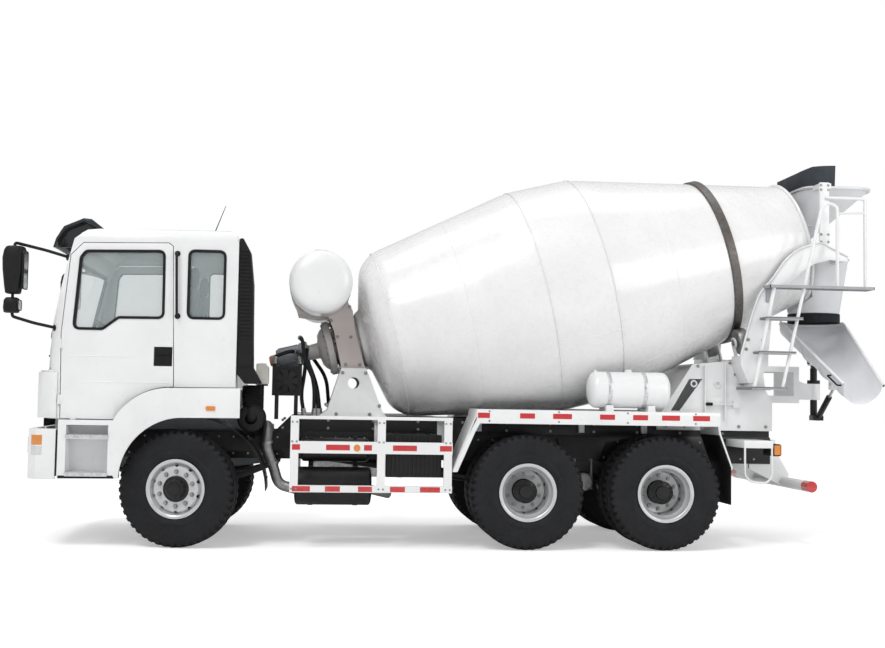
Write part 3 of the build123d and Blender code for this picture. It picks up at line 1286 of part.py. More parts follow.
# ---------------------------------------------------------------- chute
SLOPE = math.radians(CHUTE_SLOPE)
CHUTE_DOWN = Vector(0, -math.cos(SLOPE), -math.sin(SLOPE))
CHUTE_BOWL = 367            # half width over the swivel, also the bowl's radius
CHUTE_END = 203             # half width at the lip
BOWL_DEPTH = 330
LIP_DEPTH = 240
LUG_Y = 22                  # half width of the post's head
JACK_FOOT = (-120, 1340)    # jack's lower pin: y, z
JACK_EYE = (-560, 1681)     # jack's upper pin
PIN = 18
JACK_PIN = 14
JACK_SLACK = 4              # room round the upper pin
BARREL_RADIUS = 32
BARREL_LENGTH = 380
ROD_RADIUS = 16
ROD_LENGTH = 330
LUG_T = 30


def trough_section(distance, wall):
    """The trough's section at a distance down the chute: a U with its rim at the chute's top plane."""
    share = distance / CHUTE_LENGTH
    half = CHUTE_BOWL + (CHUTE_END - CHUTE_BOWL) * share - wall
    depth = BOWL_DEPTH + (LIP_DEPTH - BOWL_DEPTH) * share - wall
    straight = depth - half * 0.85
    origin = at(CHUTE_X, 0, CHUTE_TOP_Z) + CHUTE_DOWN * distance
    with BuildSketch(Plane(origin=origin, x_dir=(1, 0, 0), z_dir=CHUTE_DOWN)) as section:
        with BuildLine():
            Polyline((-half, -straight), (-half, 60), (half, 60), (half, -straight))
            ThreePointArc((half, -straight), (0, -depth), (-half, -straight))
        make_face()
    return section.sketch


def trough(wall):
    """The trough's outer or inner form: a tapering U that ends in a round bowl over the swivel."""
    with BuildPart() as form:
        loft([trough_section(-500, wall), trough_section(CHUTE_LENGTH + wall, wall)])
        with BuildSketch(PLAN.offset(1000)):
            with Locations((CHUTE_X, 0)):
                Circle(CHUTE_BOWL - wall)
            with Locations((CHUTE_X, -1000)):
                Rectangle(2 * CHUTE_BOWL, 2000)
        extrude(amount=1425 + wall, mode=Mode.INTERSECT)
    return form.part


def make_chute():
    outer, inner = trough(0), trough(CHUTE_WALL)
    top = Plane(origin=at(CHUTE_X, 0, CHUTE_TOP_Z), x_dir=(1, 0, 0), z_dir=(0, -math.sin(SLOPE), math.cos(SLOPE)))
    with BuildPart() as chute:
        add(outer)
        # lugs on the hinge pin and on the jack's eye
        for x0, x1 in ((-LUG_Y - LUG_T, -LUG_Y - GAP), (LUG_Y + GAP, LUG_Y + LUG_T)):
            block(CHUTE_X + x0, CHUTE_X + x1, -45, 45, CHUTE_HINGE_Z - 35, 2110)
            block(CHUTE_X + x0, CHUTE_X + x1, JACK_EYE[0] - 35, JACK_EYE[0] + 35, JACK_EYE[1] - 30, JACK_EYE[1] + 100)
        with Locations(Location(at(CHUTE_X, 0, CHUTE_HINGE_Z), (0, 90, 0))):
            Cylinder(PIN + GAP, 200, mode=Mode.SUBTRACT)
        add(inner, mode=Mode.SUBTRACT)
        with BuildSketch(top) as over:
            with Locations((0, -500)):
                Rectangle(1200, 2200)
        extrude(over.sketch, amount=200, mode=Mode.SUBTRACT)
        bar(at(CHUTE_X - LUG_Y - LUG_T - 8, *JACK_EYE), at(CHUTE_X + LUG_Y + LUG_T + 8, *JACK_EYE), JACK_PIN)
        # rolled rims down both sides
        for side in (-1, 1):
            ends = [at(CHUTE_X + side * (CHUTE_BOWL + (CHUTE_END - CHUTE_BOWL) * d / CHUTE_LENGTH + 7), 0, CHUTE_TOP_Z)
                    + CHUTE_DOWN * d + top.z_dir * -14 for d in (80, CHUTE_LENGTH - 20)]
            bar(*ends, 12)
    save(chute, "chute")
    with BuildPart() as swivel:
        # post in its bearing, with a collar above and the jack's lugs below
        bar(at(CHUTE_X, 0, JACK_FOOT[1] - 28), at(CHUTE_X, 0, CHUTE_HINGE_Z - 70), POST_RADIUS)
        bar(at(CHUTE_X, 0, BEARING_TOP + GAP), at(CHUTE_X, 0, BEARING_TOP + 40), BEARING_RADIUS)
        with BuildSketch(Plane(origin=at(CHUTE_X - LUG_Y, 0, 0), x_dir=(0, 1, 0), z_dir=(1, 0, 0))):
            with Locations((0, CHUTE_HINGE_Z)):
                Circle(34)
            with Locations((0, CHUTE_HINGE_Z - 40)):
                Rectangle(68, 80)
        extrude(amount=2 * LUG_Y)
        bar(at(CHUTE_X - 70, 0, CHUTE_HINGE_Z), at(CHUTE_X + 70, 0, CHUTE_HINGE_Z), PIN)
        for x0, x1 in ((-LUG_Y - LUG_T, -LUG_Y - GAP), (LUG_Y + GAP, LUG_Y + LUG_T)):
            block(CHUTE_X + x0, CHUTE_X + x1, JACK_FOOT[0] - 30, 0, JACK_FOOT[1] - 28, JACK_FOOT[1] + 28)
        bar(at(CHUTE_X - LUG_Y - LUG_T - 8, *JACK_FOOT), at(CHUTE_X + LUG_Y + LUG_T + 8, *JACK_FOOT), JACK_PIN)
    save(swivel, "chute_swivel")
    foot, eye = at(CHUTE_X, *JACK_FOOT), at(CHUTE_X, *JACK_EYE)
    along = (eye - foot).normalized()
    for name, pin, hole in (("jack_barrel", foot, JACK_PIN + GAP), ("jack_rod", eye, JACK_PIN + JACK_SLACK)):
        with BuildPart() as piece:
            if name == "jack_barrel":
                bar(foot, foot + along * 60, ROD_RADIUS)
                bar(foot + along * 46, foot + along * BARREL_LENGTH, BARREL_RADIUS)
                bar(foot + along * 62, foot + along * (BARREL_LENGTH + 1), ROD_RADIUS + GAP, mode=Mode.SUBTRACT)
            else:
                bar(eye, eye - along * ROD_LENGTH, ROD_RADIUS)
            with Locations(Location(pin, (0, 90, 0))):
                Cylinder(30, 2 * LUG_Y)
                Cylinder(hole, 200, mode=Mode.SUBTRACT)
        save(piece, name)


def main():
    make_chassis_frame()
    make_subframe()
    make_engine()
    make_front_axle()
    make_rear_axles()
    make_bumper()
    make_front_fenders()
    make_mudguards()
    make_air_filter()
    make_exhaust()
    make_side_guards()
    make_rear_fenders()
    make_side_tanks()
    make_air_tanks()
    make_front_pedestal()
    make_drum_drive()
    make_water_tank()
    make_oil_cooler()
    make_hoses()
    make_rear_pedestal()
    make_hopper_frame()
    make_hopper()
    make_rubber_guards()
    make_discharge_funnel()
    make_ladder()
    make_underrun()
    make_cab()
    make_cab_fittings()
    make_wheels()
    make_steering()
    make_drum()
    make_rollers()
    make_chute()


main()
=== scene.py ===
import json
import math

import bmesh
import bpy
from mathutils import Matrix, Vector

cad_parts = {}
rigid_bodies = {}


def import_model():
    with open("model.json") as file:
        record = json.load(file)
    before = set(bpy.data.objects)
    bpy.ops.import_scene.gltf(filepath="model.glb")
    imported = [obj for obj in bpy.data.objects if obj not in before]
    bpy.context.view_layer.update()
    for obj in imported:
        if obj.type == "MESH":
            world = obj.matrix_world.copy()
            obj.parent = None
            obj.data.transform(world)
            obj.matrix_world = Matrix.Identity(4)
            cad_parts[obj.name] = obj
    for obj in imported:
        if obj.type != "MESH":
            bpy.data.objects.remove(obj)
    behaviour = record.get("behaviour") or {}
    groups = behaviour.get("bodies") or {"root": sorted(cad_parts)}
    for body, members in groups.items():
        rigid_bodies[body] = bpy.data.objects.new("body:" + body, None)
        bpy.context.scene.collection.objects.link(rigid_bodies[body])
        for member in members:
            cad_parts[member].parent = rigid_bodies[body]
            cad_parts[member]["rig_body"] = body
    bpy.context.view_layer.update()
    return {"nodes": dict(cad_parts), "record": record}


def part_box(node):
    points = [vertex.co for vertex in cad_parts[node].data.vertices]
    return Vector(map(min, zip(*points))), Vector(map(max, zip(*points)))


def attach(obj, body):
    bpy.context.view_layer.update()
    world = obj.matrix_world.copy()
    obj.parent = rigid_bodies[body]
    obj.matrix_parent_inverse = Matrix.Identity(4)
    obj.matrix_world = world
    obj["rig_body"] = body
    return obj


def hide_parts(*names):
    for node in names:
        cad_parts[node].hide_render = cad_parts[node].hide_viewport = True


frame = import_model()

# Lengths below are millimetres from the front axle (x to the rear, y to the right, z up).
MID_X, REAR_X = 3400, 4800      # the tandem's two axles
TANDEM_X = (MID_X + REAR_X) / 2
WHEEL_Z = 570
KINGPIN_Y = 830
STEER = math.radians(-9.35)     # the front wheels as they stand at rest
RAIL_Y = 430                    # outer face of the frame's rails
GUARD_Y = 1240                  # outer face of the side guards
DRUM_X, DRUM_Z, DRUM_TILT = 1740, 2089, math.radians(14)
CHUTE_X, CHUTE_TOP = 6850, 2405
low_corner, high_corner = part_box("wheels_mid_left")
AXLE_X = (low_corner.x + high_corner.x) / 2 * 1000 - MID_X
X, Y, Z = Vector((1, 0, 0)), Vector((0, 1, 0)), Vector((0, 0, 1))


def V(x, y, z):
    """A place in the frame, in metres."""
    return Vector(((AXLE_X + x) / 1000, y / 1000, z / 1000))


# ------------------------------------------------------------------ materials
def nodes_of(name):
    mat = bpy.data.materials.new(name)
    mat.use_nodes = True
    tree = mat.node_tree
    return mat, tree, tree.nodes["Principled BSDF"]


def add_node(tree, kind, **values):
    """A node with plain values on its sockets (an underscore stands for a space)."""
    node = tree.nodes.new("ShaderNode" + kind)
    set_plain(node, **values)
    return node


def set_plain(node, **values):
    for name, value in values.items():
        node.inputs[name.replace("_", " ")].default_value = value


def feed(tree, value, socket):
    """Links an output to a socket, or sets a number or colour on it."""
    if hasattr(value, "is_linked"):
        tree.links.new(value, socket)
    elif isinstance(value, tuple) and len(value) == 3:
        socket.default_value = (*value, 1)
    else:
        socket.default_value = value


def noise(tree, scale, detail=4, rough=0.6):
    coord = add_node(tree, "TexCoord")
    tex = add_node(tree, "TexNoise", Scale=scale, Detail=detail, Roughness=rough)
    feed(tree, coord.outputs["Object"], tex.inputs["Vector"])
    return tex.outputs["Fac"]


def ramp(tree, fac, stops):
    node = add_node(tree, "ValToRGB")
    for element, (place, colour) in zip(node.color_ramp.elements, stops):
        element.position = place
        element.color = (*colour, 1)
    feed(tree, fac, node.inputs["Fac"])
    return node.outputs["Color"]


def shades(tree, fac, colour, low, high, start=0.3, end=0.7):
    """A ramp between two shades of one colour."""
    return ramp(tree, fac, [(place, tuple(min(1, c * share) for c in colour))
                            for place, share in ((start, low), (end, high))])


def specks(tree, fac, start, end, top=1):
    return ramp(tree, fac, ((start, (0, 0, 0)), (end, (top,) * 3)))


def mix(tree, fac, a, b):
    node = add_node(tree, "Mix")
    node.data_type = "RGBA"
    for index, value in ((0, fac), (6, a), (7, b)):
        feed(tree, value, node.inputs[index])
    return node.outputs[2]


def times(tree, a, b):
    node = add_node(tree, "Math")
    node.operation = "MULTIPLY"
    for socket, value in zip(node.inputs, (a, b)):
        feed(tree, value, socket)
    return node.outputs[0]


def bump(tree, shader, height, strength, distance):
    node = add_node(tree, "Bump", Strength=strength, Distance=distance)
    feed(tree, height, node.inputs["Height"])
    feed(tree, node.outputs["Normal"], shader.inputs["Normal"])


def dusty(tree, tone, spots, dirt, top, amount):
    """The tone with specks of dust over it, from all of them at the ground to none at a height in metres."""
    coord = add_node(tree, "TexCoord")
    split = add_node(tree, "SeparateXYZ")
    feed(tree, coord.outputs["Object"], split.inputs[0])
    span = add_node(tree, "MapRange", From_Min=top, From_Max=0)
    feed(tree, split.outputs["Z"], span.inputs["Value"])
    return mix(tree, times(tree, times(tree, spots, span.outputs[0]), amount), tone, dirt)


def paint(name, colour, rough=0.32, coat=0.4, dirt=(0.42, 0.38, 0.33), dirt_top=1.3, dirt_amount=0.35,
          metal=0.0, peel=0.06):
    """Enamel: slight tone drift, fine orange peel, and dust that thickens towards the ground."""
    mat, tree, b = nodes_of(name)
    tone = shades(tree, noise(tree, 1.7, 3), colour, 0.93, 1, 0.35, 0.65)
    spots = specks(tree, noise(tree, 9, 8, 0.7), 0.42, 0.72)
    feed(tree, dusty(tree, tone, spots, dirt, dirt_top, dirt_amount), b.inputs["Base Color"])
    feed(tree, shades(tree, noise(tree, 14, 6), (rough,) * 3, 0.8, 1.25), b.inputs["Roughness"])
    set_plain(b, Metallic=metal, Specular_IOR_Level=0.5 if max(colour) > 0.1 else 0.3,
              Coat_Weight=coat, Coat_Roughness=0.12)
    bump(tree, b, noise(tree, 220, 2), peel, 0.0006)
    return mat


def moulded(name, colour, rough=0.6, grain=420, strength=0.25, dirt_amount=0.25, dirt=(0.3, 0.27, 0.24),
            dirt_top=1.4):
    """Grained plastic or rubber with dust that thickens towards the ground."""
    mat, tree, b = nodes_of(name)
    tone = shades(tree, noise(tree, 4, 5), colour, 0.75, 1.3)
    spots = specks(tree, noise(tree, 11, 8, 0.7), 0.4, 0.75)
    feed(tree, dusty(tree, tone, spots, dirt, dirt_top, dirt_amount), b.inputs["Base Color"])
    feed(tree, shades(tree, noise(tree, 25, 5), (rough,) * 3, 0.85, 1.2), b.inputs["Roughness"])
    set_plain(b, Specular_IOR_Level=0.25)
    bump(tree, b, noise(tree, grain, 3), strength, 0.0008)
    return mat


def bare(name, colour, rough=0.35, rust=0.0):
    """Bare metal with smudges and a little rust."""
    mat, tree, b = nodes_of(name)
    tone = shades(tree, noise(tree, 30, 6, 0.7), colour, 0.7, 1.2)
    if rust:
        tone = mix(tree, specks(tree, noise(tree, 7, 9, 0.75), 0.5, 0.68, rust), tone, (0.16, 0.07, 0.035))
    feed(tree, tone, b.inputs["Base Color"])
    feed(tree, shades(tree, noise(tree, 18, 6), (rough,) * 3, 0.7, 1.5), b.inputs["Roughness"])
    set_plain(b, Metallic=0.9)
    bump(tree, b, noise(tree, 120, 3), 0.15, 0.0005)
    return mat


def lens(name, colour, rough=0.12):
    """Ribbed lamp lens: coloured, glossy, with fine vertical flutes."""
    mat, tree, b = nodes_of(name)
    coord = add_node(tree, "TexCoord")
    wave = add_node(tree, "TexWave", Scale=40)
    feed(tree, coord.outputs["Object"], wave.inputs["Vector"])
    feed(tree, shades(tree, wave.outputs["Fac"], colour, 0.6, 1, 0.2, 0.8), b.inputs["Base Color"])
    set_plain(b, Roughness=rough, Coat_Weight=1.0)
    bump(tree, b, wave.outputs["Fac"], 0.3, 0.001)
    return mat


def pane(name):
    """Thin greenish window glass."""
    mat, tree, b = nodes_of(name)
    feed(tree, shades(tree, noise(tree, 2, 3), (0.62, 0.72, 0.72), 0.9, 1), b.inputs["Base Color"])
    set_plain(b, Roughness=0.03, Alpha=0.22, Specular_IOR_Level=0.9, Coat_Weight=1.0, Coat_Roughness=0.02)
    return mat


WHITE = paint("white_enamel", (0.82, 0.825, 0.83), dirt_amount=0.16)
DRUM_WHITE = paint("drum_enamel", (0.82, 0.82, 0.82), rough=0.28, coat=0.6, dirt_top=2.4, dirt_amount=0.05,
                   dirt=(0.55, 0.54, 0.52))
GREY = paint("grey_enamel", (0.70, 0.71, 0.73), rough=0.4, coat=0.15, dirt_top=6, dirt_amount=0.22,
             dirt=(0.5, 0.49, 0.48))
# painted light: the chute's grey is the hopper's grey made paler, to make up for the shade the chute stands
# in
CHUTE_GREY_LIT = paint("chute_enamel_lightened", (0.79, 0.80, 0.82), rough=0.4, coat=0.1, dirt_top=6, dirt_amount=0.12,
                   dirt=(0.55, 0.54, 0.53))
BLACK = paint("chassis_black", (0.009, 0.009, 0.010), rough=0.38, coat=0.1, dirt_amount=0.25,
              dirt=(0.06, 0.055, 0.05), dirt_top=1.4)
STEP_GREY = paint("galvanised_step", (0.36, 0.37, 0.385), rough=0.55, coat=0.0, metal=0.3, dirt_top=5,
                  dirt_amount=0.35, dirt=(0.2, 0.19, 0.18))
IRON = paint("casting_grey", (0.24, 0.255, 0.28), rough=0.5, coat=0.05, dirt_top=3.5, dirt_amount=0.45,
             dirt=(0.12, 0.1, 0.085))
PRIMER = paint("saddle_primer", (0.60, 0.54, 0.52), rough=0.6, coat=0.0, dirt_top=3.5, dirt_amount=0.3)
CASTING = paint("gearbox_casting", (0.55, 0.53, 0.52), rough=0.5, coat=0.05, dirt_top=3.5, dirt_amount=0.3,
                dirt=(0.25, 0.22, 0.2))
RIM = paint("rim_silver", (0.60, 0.61, 0.62), rough=0.34, coat=0.3, metal=0.35, dirt_amount=0.4,
            dirt=(0.2, 0.18, 0.16))
STEEL = bare("worn_steel", (0.36, 0.36, 0.36), 0.42, rust=0.3)
BAND = bare("running_band", (0.16, 0.155, 0.15), 0.4, rust=0.35)
BRIGHT = bare("bright_steel", (0.62, 0.62, 0.62), 0.3)
ALLOY = bare("aluminium_tread", (0.68, 0.69, 0.70), 0.38)
COPPER = bare("copper_cap", (0.62, 0.33, 0.2), 0.4)
PLASTIC = moulded("black_plastic", (0.008, 0.008, 0.009), 0.5, dirt_amount=0.1)
RUBBER = moulded("black_rubber", (0.010, 0.011, 0.012), 0.7, grain=160, strength=0.3, dirt_amount=0.1)
APRON = moulded("apron_rubber", (0.035, 0.042, 0.05), 0.6, grain=160, strength=0.25, dirt_amount=0.1)
TYRE = moulded("tyre_rubber", (0.010, 0.0105, 0.012), 0.62, grain=90, strength=0.25, dirt_amount=0.12,
               dirt=(0.05, 0.047, 0.045), dirt_top=1.2)
VISOR = paint("tinted_acrylic", (0.012, 0.018, 0.021), rough=0.16, coat=0.8, dirt_amount=0.0, peel=0.0)
VINYL = moulded("seat_vinyl", (0.10, 0.10, 0.11), 0.62, grain=260)
PANEL = moulded("dash_plastic", (0.16, 0.16, 0.165), 0.6)
TANK_PLASTIC = moulded("translucent_tank", (0.72, 0.71, 0.66), 0.45, grain=60, strength=0.1)
GLASS = pane("cab_glass")
MIRROR = bare("mirror_silver", (0.8, 0.82, 0.84), 0.04)
AMBER = lens("amber_lens", (0.85, 0.28, 0.03))
RED = lens("red_lens", (0.62, 0.02, 0.02))
CLEAR = lens("clear_lens", (0.78, 0.8, 0.8), 0.08)
RED_TAPE = paint("red_tape", (0.55, 0.02, 0.025), rough=0.35, coat=0.3)


# ------------------------------------------------------------------ mesh tools
BODY_OF = {name: node["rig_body"] for name, node in frame["nodes"].items()}
SLOT_OF = {part["node"]: part["material_slot"] for part in frame["record"]["subparts"]}


def as_object(name, bm):
    """A new object in the scene with the mesh that bm holds."""
    mesh = bpy.data.meshes.new(name)
    bm.to_mesh(mesh)
    bm.free()
    obj = bpy.data.objects.new(name, mesh)
    bpy.context.scene.collection.objects.link(obj)
    return obj


def finish_piece(name, bm, mat, body, slot, replaces=(), bevel=0.0, smooth=32):
    """Makes a piece that rides on a body; its slot (a slot's name or a node) is looked up but not used."""
    bmesh.ops.remove_doubles(bm, verts=bm.verts, dist=2e-5)
    bmesh.ops.recalc_face_normals(bm, faces=bm.faces)
    if bevel:
        edges = [e for e in bm.edges if len(e.link_faces) == 2 and e.calc_face_angle(0) > math.radians(28)]
        bmesh.ops.bevel(bm, geom=edges, offset=bevel / 1000, segments=2, profile=0.6, affect="EDGES",
                        clamp_overlap=True)
    obj = as_object(name, bm)
    obj.data.shade_smooth()
    obj.data.set_sharp_from_angle(angle=math.radians(smooth))
    for m in mat if isinstance(mat, list) else [mat]:
        obj.data.materials.append(m)
    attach(obj, body)
    SLOT_OF.get(slot, slot)
    if replaces:
        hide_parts(*replaces)


def dress(node, mat, bevel=3.0, smooth=32, seams=(), second_above=None):
    """A copy of a CAD node with its flat faces joined and its edges rounded.

    Hairline seams (axis, place in mm) are closed. Faces over a height in mm take the second material.
    """
    bm = bmesh.new()
    bm.from_mesh(frame["nodes"][node].data)
    bm.normal_update()
    for axis, place in seams:
        place = (place + (AXLE_X if axis == 0 else 0)) / 1000
        walls = [f for f in bm.faces
                 if abs(f.calc_center_median()[axis] - place) < 6e-4 and abs(f.normal[axis]) > 0.99]
        bmesh.ops.delete(bm, geom=walls, context="FACES_ONLY")
    bmesh.ops.remove_doubles(bm, verts=bm.verts, dist=4e-4 if seams else 1e-5)
    if second_above:
        for f in bm.faces:
            f.material_index = 1 if f.calc_center_median().z * 1000 > second_above else 0
    bmesh.ops.dissolve_limit(bm, angle_limit=math.radians(0.8), verts=bm.verts, edges=bm.edges)
    finish_piece("skin_" + node, bm, mat, BODY_OF[node], node, (node,), bevel, smooth)


def new():
    return bmesh.new()


def loft(bm, rings, closed=True, cap=True, mat=0):
    """Joins rings of points (metres) with quads."""
    rows = [[bm.verts.new(p) for p in ring] for ring in rings]
    faces = []
    for a, b in zip(rows, rows[1:]):
        n = len(a)
        for i in range(n if closed else n - 1):
            j = (i + 1) % n
            quad = (a[i], a[j], b[j], b[i])
            if len({tuple(v.co) for v in quad}) > 2:
                try:
                    faces.append(bm.faces.new(quad))
                except ValueError:
                    pass
    if cap and closed:
        for row in (rows[0], rows[-1]):
            if len({tuple(round(c, 6) for c in v.co) for v in row}) > 2:
                faces.append(bm.faces.new(row))
    for f in faces:
        f.material_index = mat
    return faces


def box(bm, x0, x1, y0, y1, z0, z1):
    prism(bm, ((x0, z0), (x1, z0), (x1, z1), (x0, z1)), y0, y1)


def prism(bm, outline, y0, y1):
    """A side outline (x, z) from y0 to y1."""
    loft(bm, [[V(x, y, z) for x, z in outline] for y in (y0, y1)])


def turn_corner(a, b, c, radius, share, steps):
    """Points of a soft arc in place of corner b, between a and c."""
    u, w = a - b, c - b
    cut = min(radius, u.length * share, w.length * share)
    start, end = b + u.normalized() * cut, b + w.normalized() * cut
    return [start * (1 - t) ** 2 + b * 2 * t * (1 - t) + end * t * t
            for t in (k / steps for k in range(steps + 1))]


def rounded(points, radius, steps=6):
    """A polygon's corners turned into arcs."""
    out = []
    for i, p in enumerate(points):
        a, b, c = Vector(points[i - 1]), Vector(p), Vector(points[(i + 1) % len(points)])
        reach = radius / math.tan((a - b).angle(c - b) / 2)
        out += [tuple(q) for q in turn_corner(a, b, c, reach, 0.48, steps)]
    return out


def bend(points, radius, steps=5):
    """A polyline's corners turned into arcs (vectors in metres, radius in mm)."""
    out = [points[0]]
    for a, b, c in zip(points, points[1:], points[2:]):
        out += turn_corner(a, b, c, radius / 1000, 0.45, steps)
    return out + [points[-1]]


def soft(profile, radius):
    """Rounds the inner corners of an open profile (all in mm)."""
    return [tuple(p) for p in bend([Vector(p) for p in profile], radius * 1000)]


def block_outline(a0, a1, b0, b1, radius, steps=6):
    """A rectangle with round corners."""
    return rounded(((a0, b0), (a1, b0), (a1, b1), (a0, b1)), radius, steps)


def shrink(points, d):
    """A polygon moved inwards by d (counter-clockwise or clockwise)."""
    n = len(points)
    area = sum(a[0] * b[1] - b[0] * a[1] for a, b in zip(points, points[1:] + points[:1]))
    sign = 1 if area > 0 else -1
    out = []
    for i, p in enumerate(points):
        a, b, c = Vector(points[i - 1]), Vector(p), Vector(points[(i + 1) % n])
        u, w = (b - a).normalized(), (c - b).normalized()
        nu, nw = Vector((-u.y, u.x)) * sign, Vector((-w.y, w.x)) * sign
        both = nu + nw
        out.append(tuple(b + both / max(0.3, both.length_squared / 2) * d))
    return out


def ring_prism(bm, outer, inner, y0, y1):
    """A flat frame between two outlines of as many points, from y0 to y1."""
    corners = ((outer, y0), (outer, y1), (inner, y1), (inner, y0), (outer, y0))
    loft(bm, [[V(x, y, z) for x, z in line] for line, y in corners], cap=False)


def basis(direction):
    d = direction.normalized()
    side = d.cross(Z)
    if side.length < 1e-3:
        side = d.cross(X)
    side.normalize()
    return d, side, d.cross(side)


def spokes(axis, count, turn=0.0):
    """Unit vectors all round an axis."""
    _, s, u = basis(axis)
    return [s * math.cos(t) + u * math.sin(t) for t in (turn + 2 * math.pi * k / count for k in range(count))]


def torus(bm, centre, axis, radius, half_long, half_wide, count, segs):
    """An oval bar turned into a ring: its half sizes along the axis and across it."""
    angles = [2 * math.pi * k / count for k in range(count)]
    profile = [(half_long * math.sin(t), radius + half_wide * math.cos(t)) for t in angles]
    lathe(bm, profile, centre, axis, segs)


def rod(bm, p, q, radius, segs=12, end_radius=None):
    """A round bar or cone between two places."""
    ends = ((p, radius / 1000), (q, (radius if end_radius is None else end_radius) / 1000))
    loft(bm, [[c + arm * r for arm in spokes(q - p, segs)] for c, r in ends])


def tube(bm, points, radius, segs=10, radii=None):
    """A round bar swept along points (metres)."""
    rings = []
    side = None
    for i, p in enumerate(points):
        d = (points[min(i + 1, len(points) - 1)] - points[max(i - 1, 0)]).normalized()
        if side is None:
            side = basis(d)[1]
        side = (side - d * side.dot(d)).normalized()
        up = d.cross(side)
        r = (radii[i] if radii else radius) / 1000
        rings.append([p + (side * math.cos(t) + up * math.sin(t)) * r
                      for t in (2 * math.pi * k / segs for k in range(segs))])
    loft(bm, rings)


def pipe(bm, route, curve, radius, segs=10, steps=5):
    """A round bar along (x, y, z) points in mm, its corners bent."""
    tube(bm, bend([V(*p) for p in route], curve, steps), radius, segs)


def lathe(bm, profile, centre, axis, segs=48, mat=0, closed_profile=True):
    """Turns (along, radius) points about an axis through centre (metres); profile in mm."""
    d = axis.normalized()
    rings = [[centre + d * (a / 1000) + arm * (r / 1000) for a, r in profile] for arm in spokes(axis, segs)]
    loft(bm, rings + rings[:1], closed=closed_profile, cap=False, mat=mat)


def collar(bm, centre, axis, half, inner, outer, segs=28):
    """A plain ring round an axis."""
    lathe(bm, ((-half, inner), (-half, outer), (half, outer), (half, inner)), centre, axis, segs)


def vessel(bm, centre, axis, half, end, segs):
    """A closed drum, alike at both ends: end lists (how far in from the end, radius)."""
    right = [(half - a, r) for a, r in end]
    left = [(-a, r) for a, r in right]
    lathe(bm, [(-half, 0), *left, *right[::-1], (half, 0)], centre, axis, segs)


def bolt(bm, p, axis, size=12, height=9, washer=True):
    d = axis.normalized()
    if washer:
        rod(bm, p, p + d * 0.002, size * 1.25)
    steps = ((0.001, 1), (height / 1000 * 0.8, 1), (height / 1000, 0.82))
    loft(bm, [[p + d * h + arm * (size / 1000) * k for arm in spokes(axis, 6)] for h, k in steps])


def bolt_circle(bm, centre, axis, radius, count, size=12, height=9, turn=0.0):
    for arm in spokes(axis, count, turn):
        bolt(bm, centre + arm * radius / 1000, axis.normalized(), size, height)


def side_bolts(bm, y, places, size, height):
    """Bolts at (x, z) places on both sides, y from the middle."""
    for side in (-1, 1):
        for x, z in places:
            bolt(bm, V(x, side * y, z), Y * side, size, height)


def grid(xs, zs):
    return [(x, z) for x in xs for z in zs]


# ------------------------------------------------------------------ wheels
WHEELS = {}     # body: [(centre, outward, kind)]
for side, word in ((-1, "left"), (1, "right")):
    out = Matrix.Rotation(STEER, 3, "Z") @ (Y * side)
    WHEELS["wheel_front_" + word] = [(V(0, side * KINGPIN_Y, WHEEL_Z) + out * 0.180, out, "front")]
    for row, x in (("mid", MID_X), ("rear", REAR_X)):
        WHEELS[f"wheels_{row}_{word}"] = [(V(x, side * (915 + step), WHEEL_Z), Y * side, kind)
                                          for step, kind in ((175, "outer"), (-175, "inner"))]

# half a tyre's section, from the tread's middle to the bead: offset, radius, how deep a groove cuts here
HALF = ((0, 565, 0), (9, 565, 0), (12, 555, 0), (26, 555, 0), (29, 569, 0), (60, 570, 0), (63, 558, 0),
        (74, 558, 0), (77, 569, 13), (108, 567, 15), (124, 560, 17), (134, 545, 12), (141, 524, 5),
        (143, 500, 0), (147, 470, 0), (150, 425, 0), (149, 390, 0), (147, 388, 0), (144, 352, 0),
        (146, 348, 0), (137, 312, 0), (128, 296, 0), (121, 285, 0), (116, 263, 0))
LUGS = 46


def tyre(bm, centre, axis):
    d, s, u = basis(axis)
    rings = []
    for lug in range(LUGS):
        for share, low in ((0.0, 0), (0.5, 0), (0.6, 1), (0.9, 1)):
            t = 2 * math.pi * (lug + share) / LUGS
            arm = s * math.cos(t) + u * math.sin(t)
            section = []
            for sign, half in ((1, HALF), (-1, HALF[:0:-1])):
                for y, r, cut in half:
                    cut *= low
                    section.append(centre + d * (sign * (y - cut * 0.35) / 1000) + arm * ((r - cut) / 1000))
            rings.append(section)
    loft(bm, rings + rings[:1], cap=False)


RIM_HALF, SEAT = 134, 261       # half the rim's width, radius of its bead seat
FACE = {"front": 108, "outer": -161, "inner": 175}      # from the tyre's middle to the disc's face
FRONT_HUB = ((-12, 0), (-12, 128), (4, 128), (8, 122), (10, 100), (46, 92), (56, 84), (58, 60), (66, 56),
             (70, 0))
REAR_HUB = ((-12, 0), (-12, 130), (6, 130), (12, 122), (22, 112), (120, 104), (128, 118), (146, 118),
            (152, 108), (158, 70), (176, 64), (180, 0))


def rim_profile():
    h, b = RIM_HALF, SEAT
    flange = ((h - 8, b + 2), (h - 4, b + 26), (h + 2, b + 28), (h + 4, b + 20))
    outside = ((-h + 8, b + 2), (-96, b - 2), (-80, b - 26), (60, b - 26), (96, b - 2))
    inside = ((h, b + 2), (h - 8, b - 7), (96, b - 12), (62, b - 38), (-80, b - 38), (-98, b - 12),
              (-h + 8, b - 8))
    lip = ((-h + 6, b), (-h, b + 4), (-h - 4, b + 20), (-h - 2, b + 28), (-h + 4, b + 26))
    return lip + outside + flange + inside


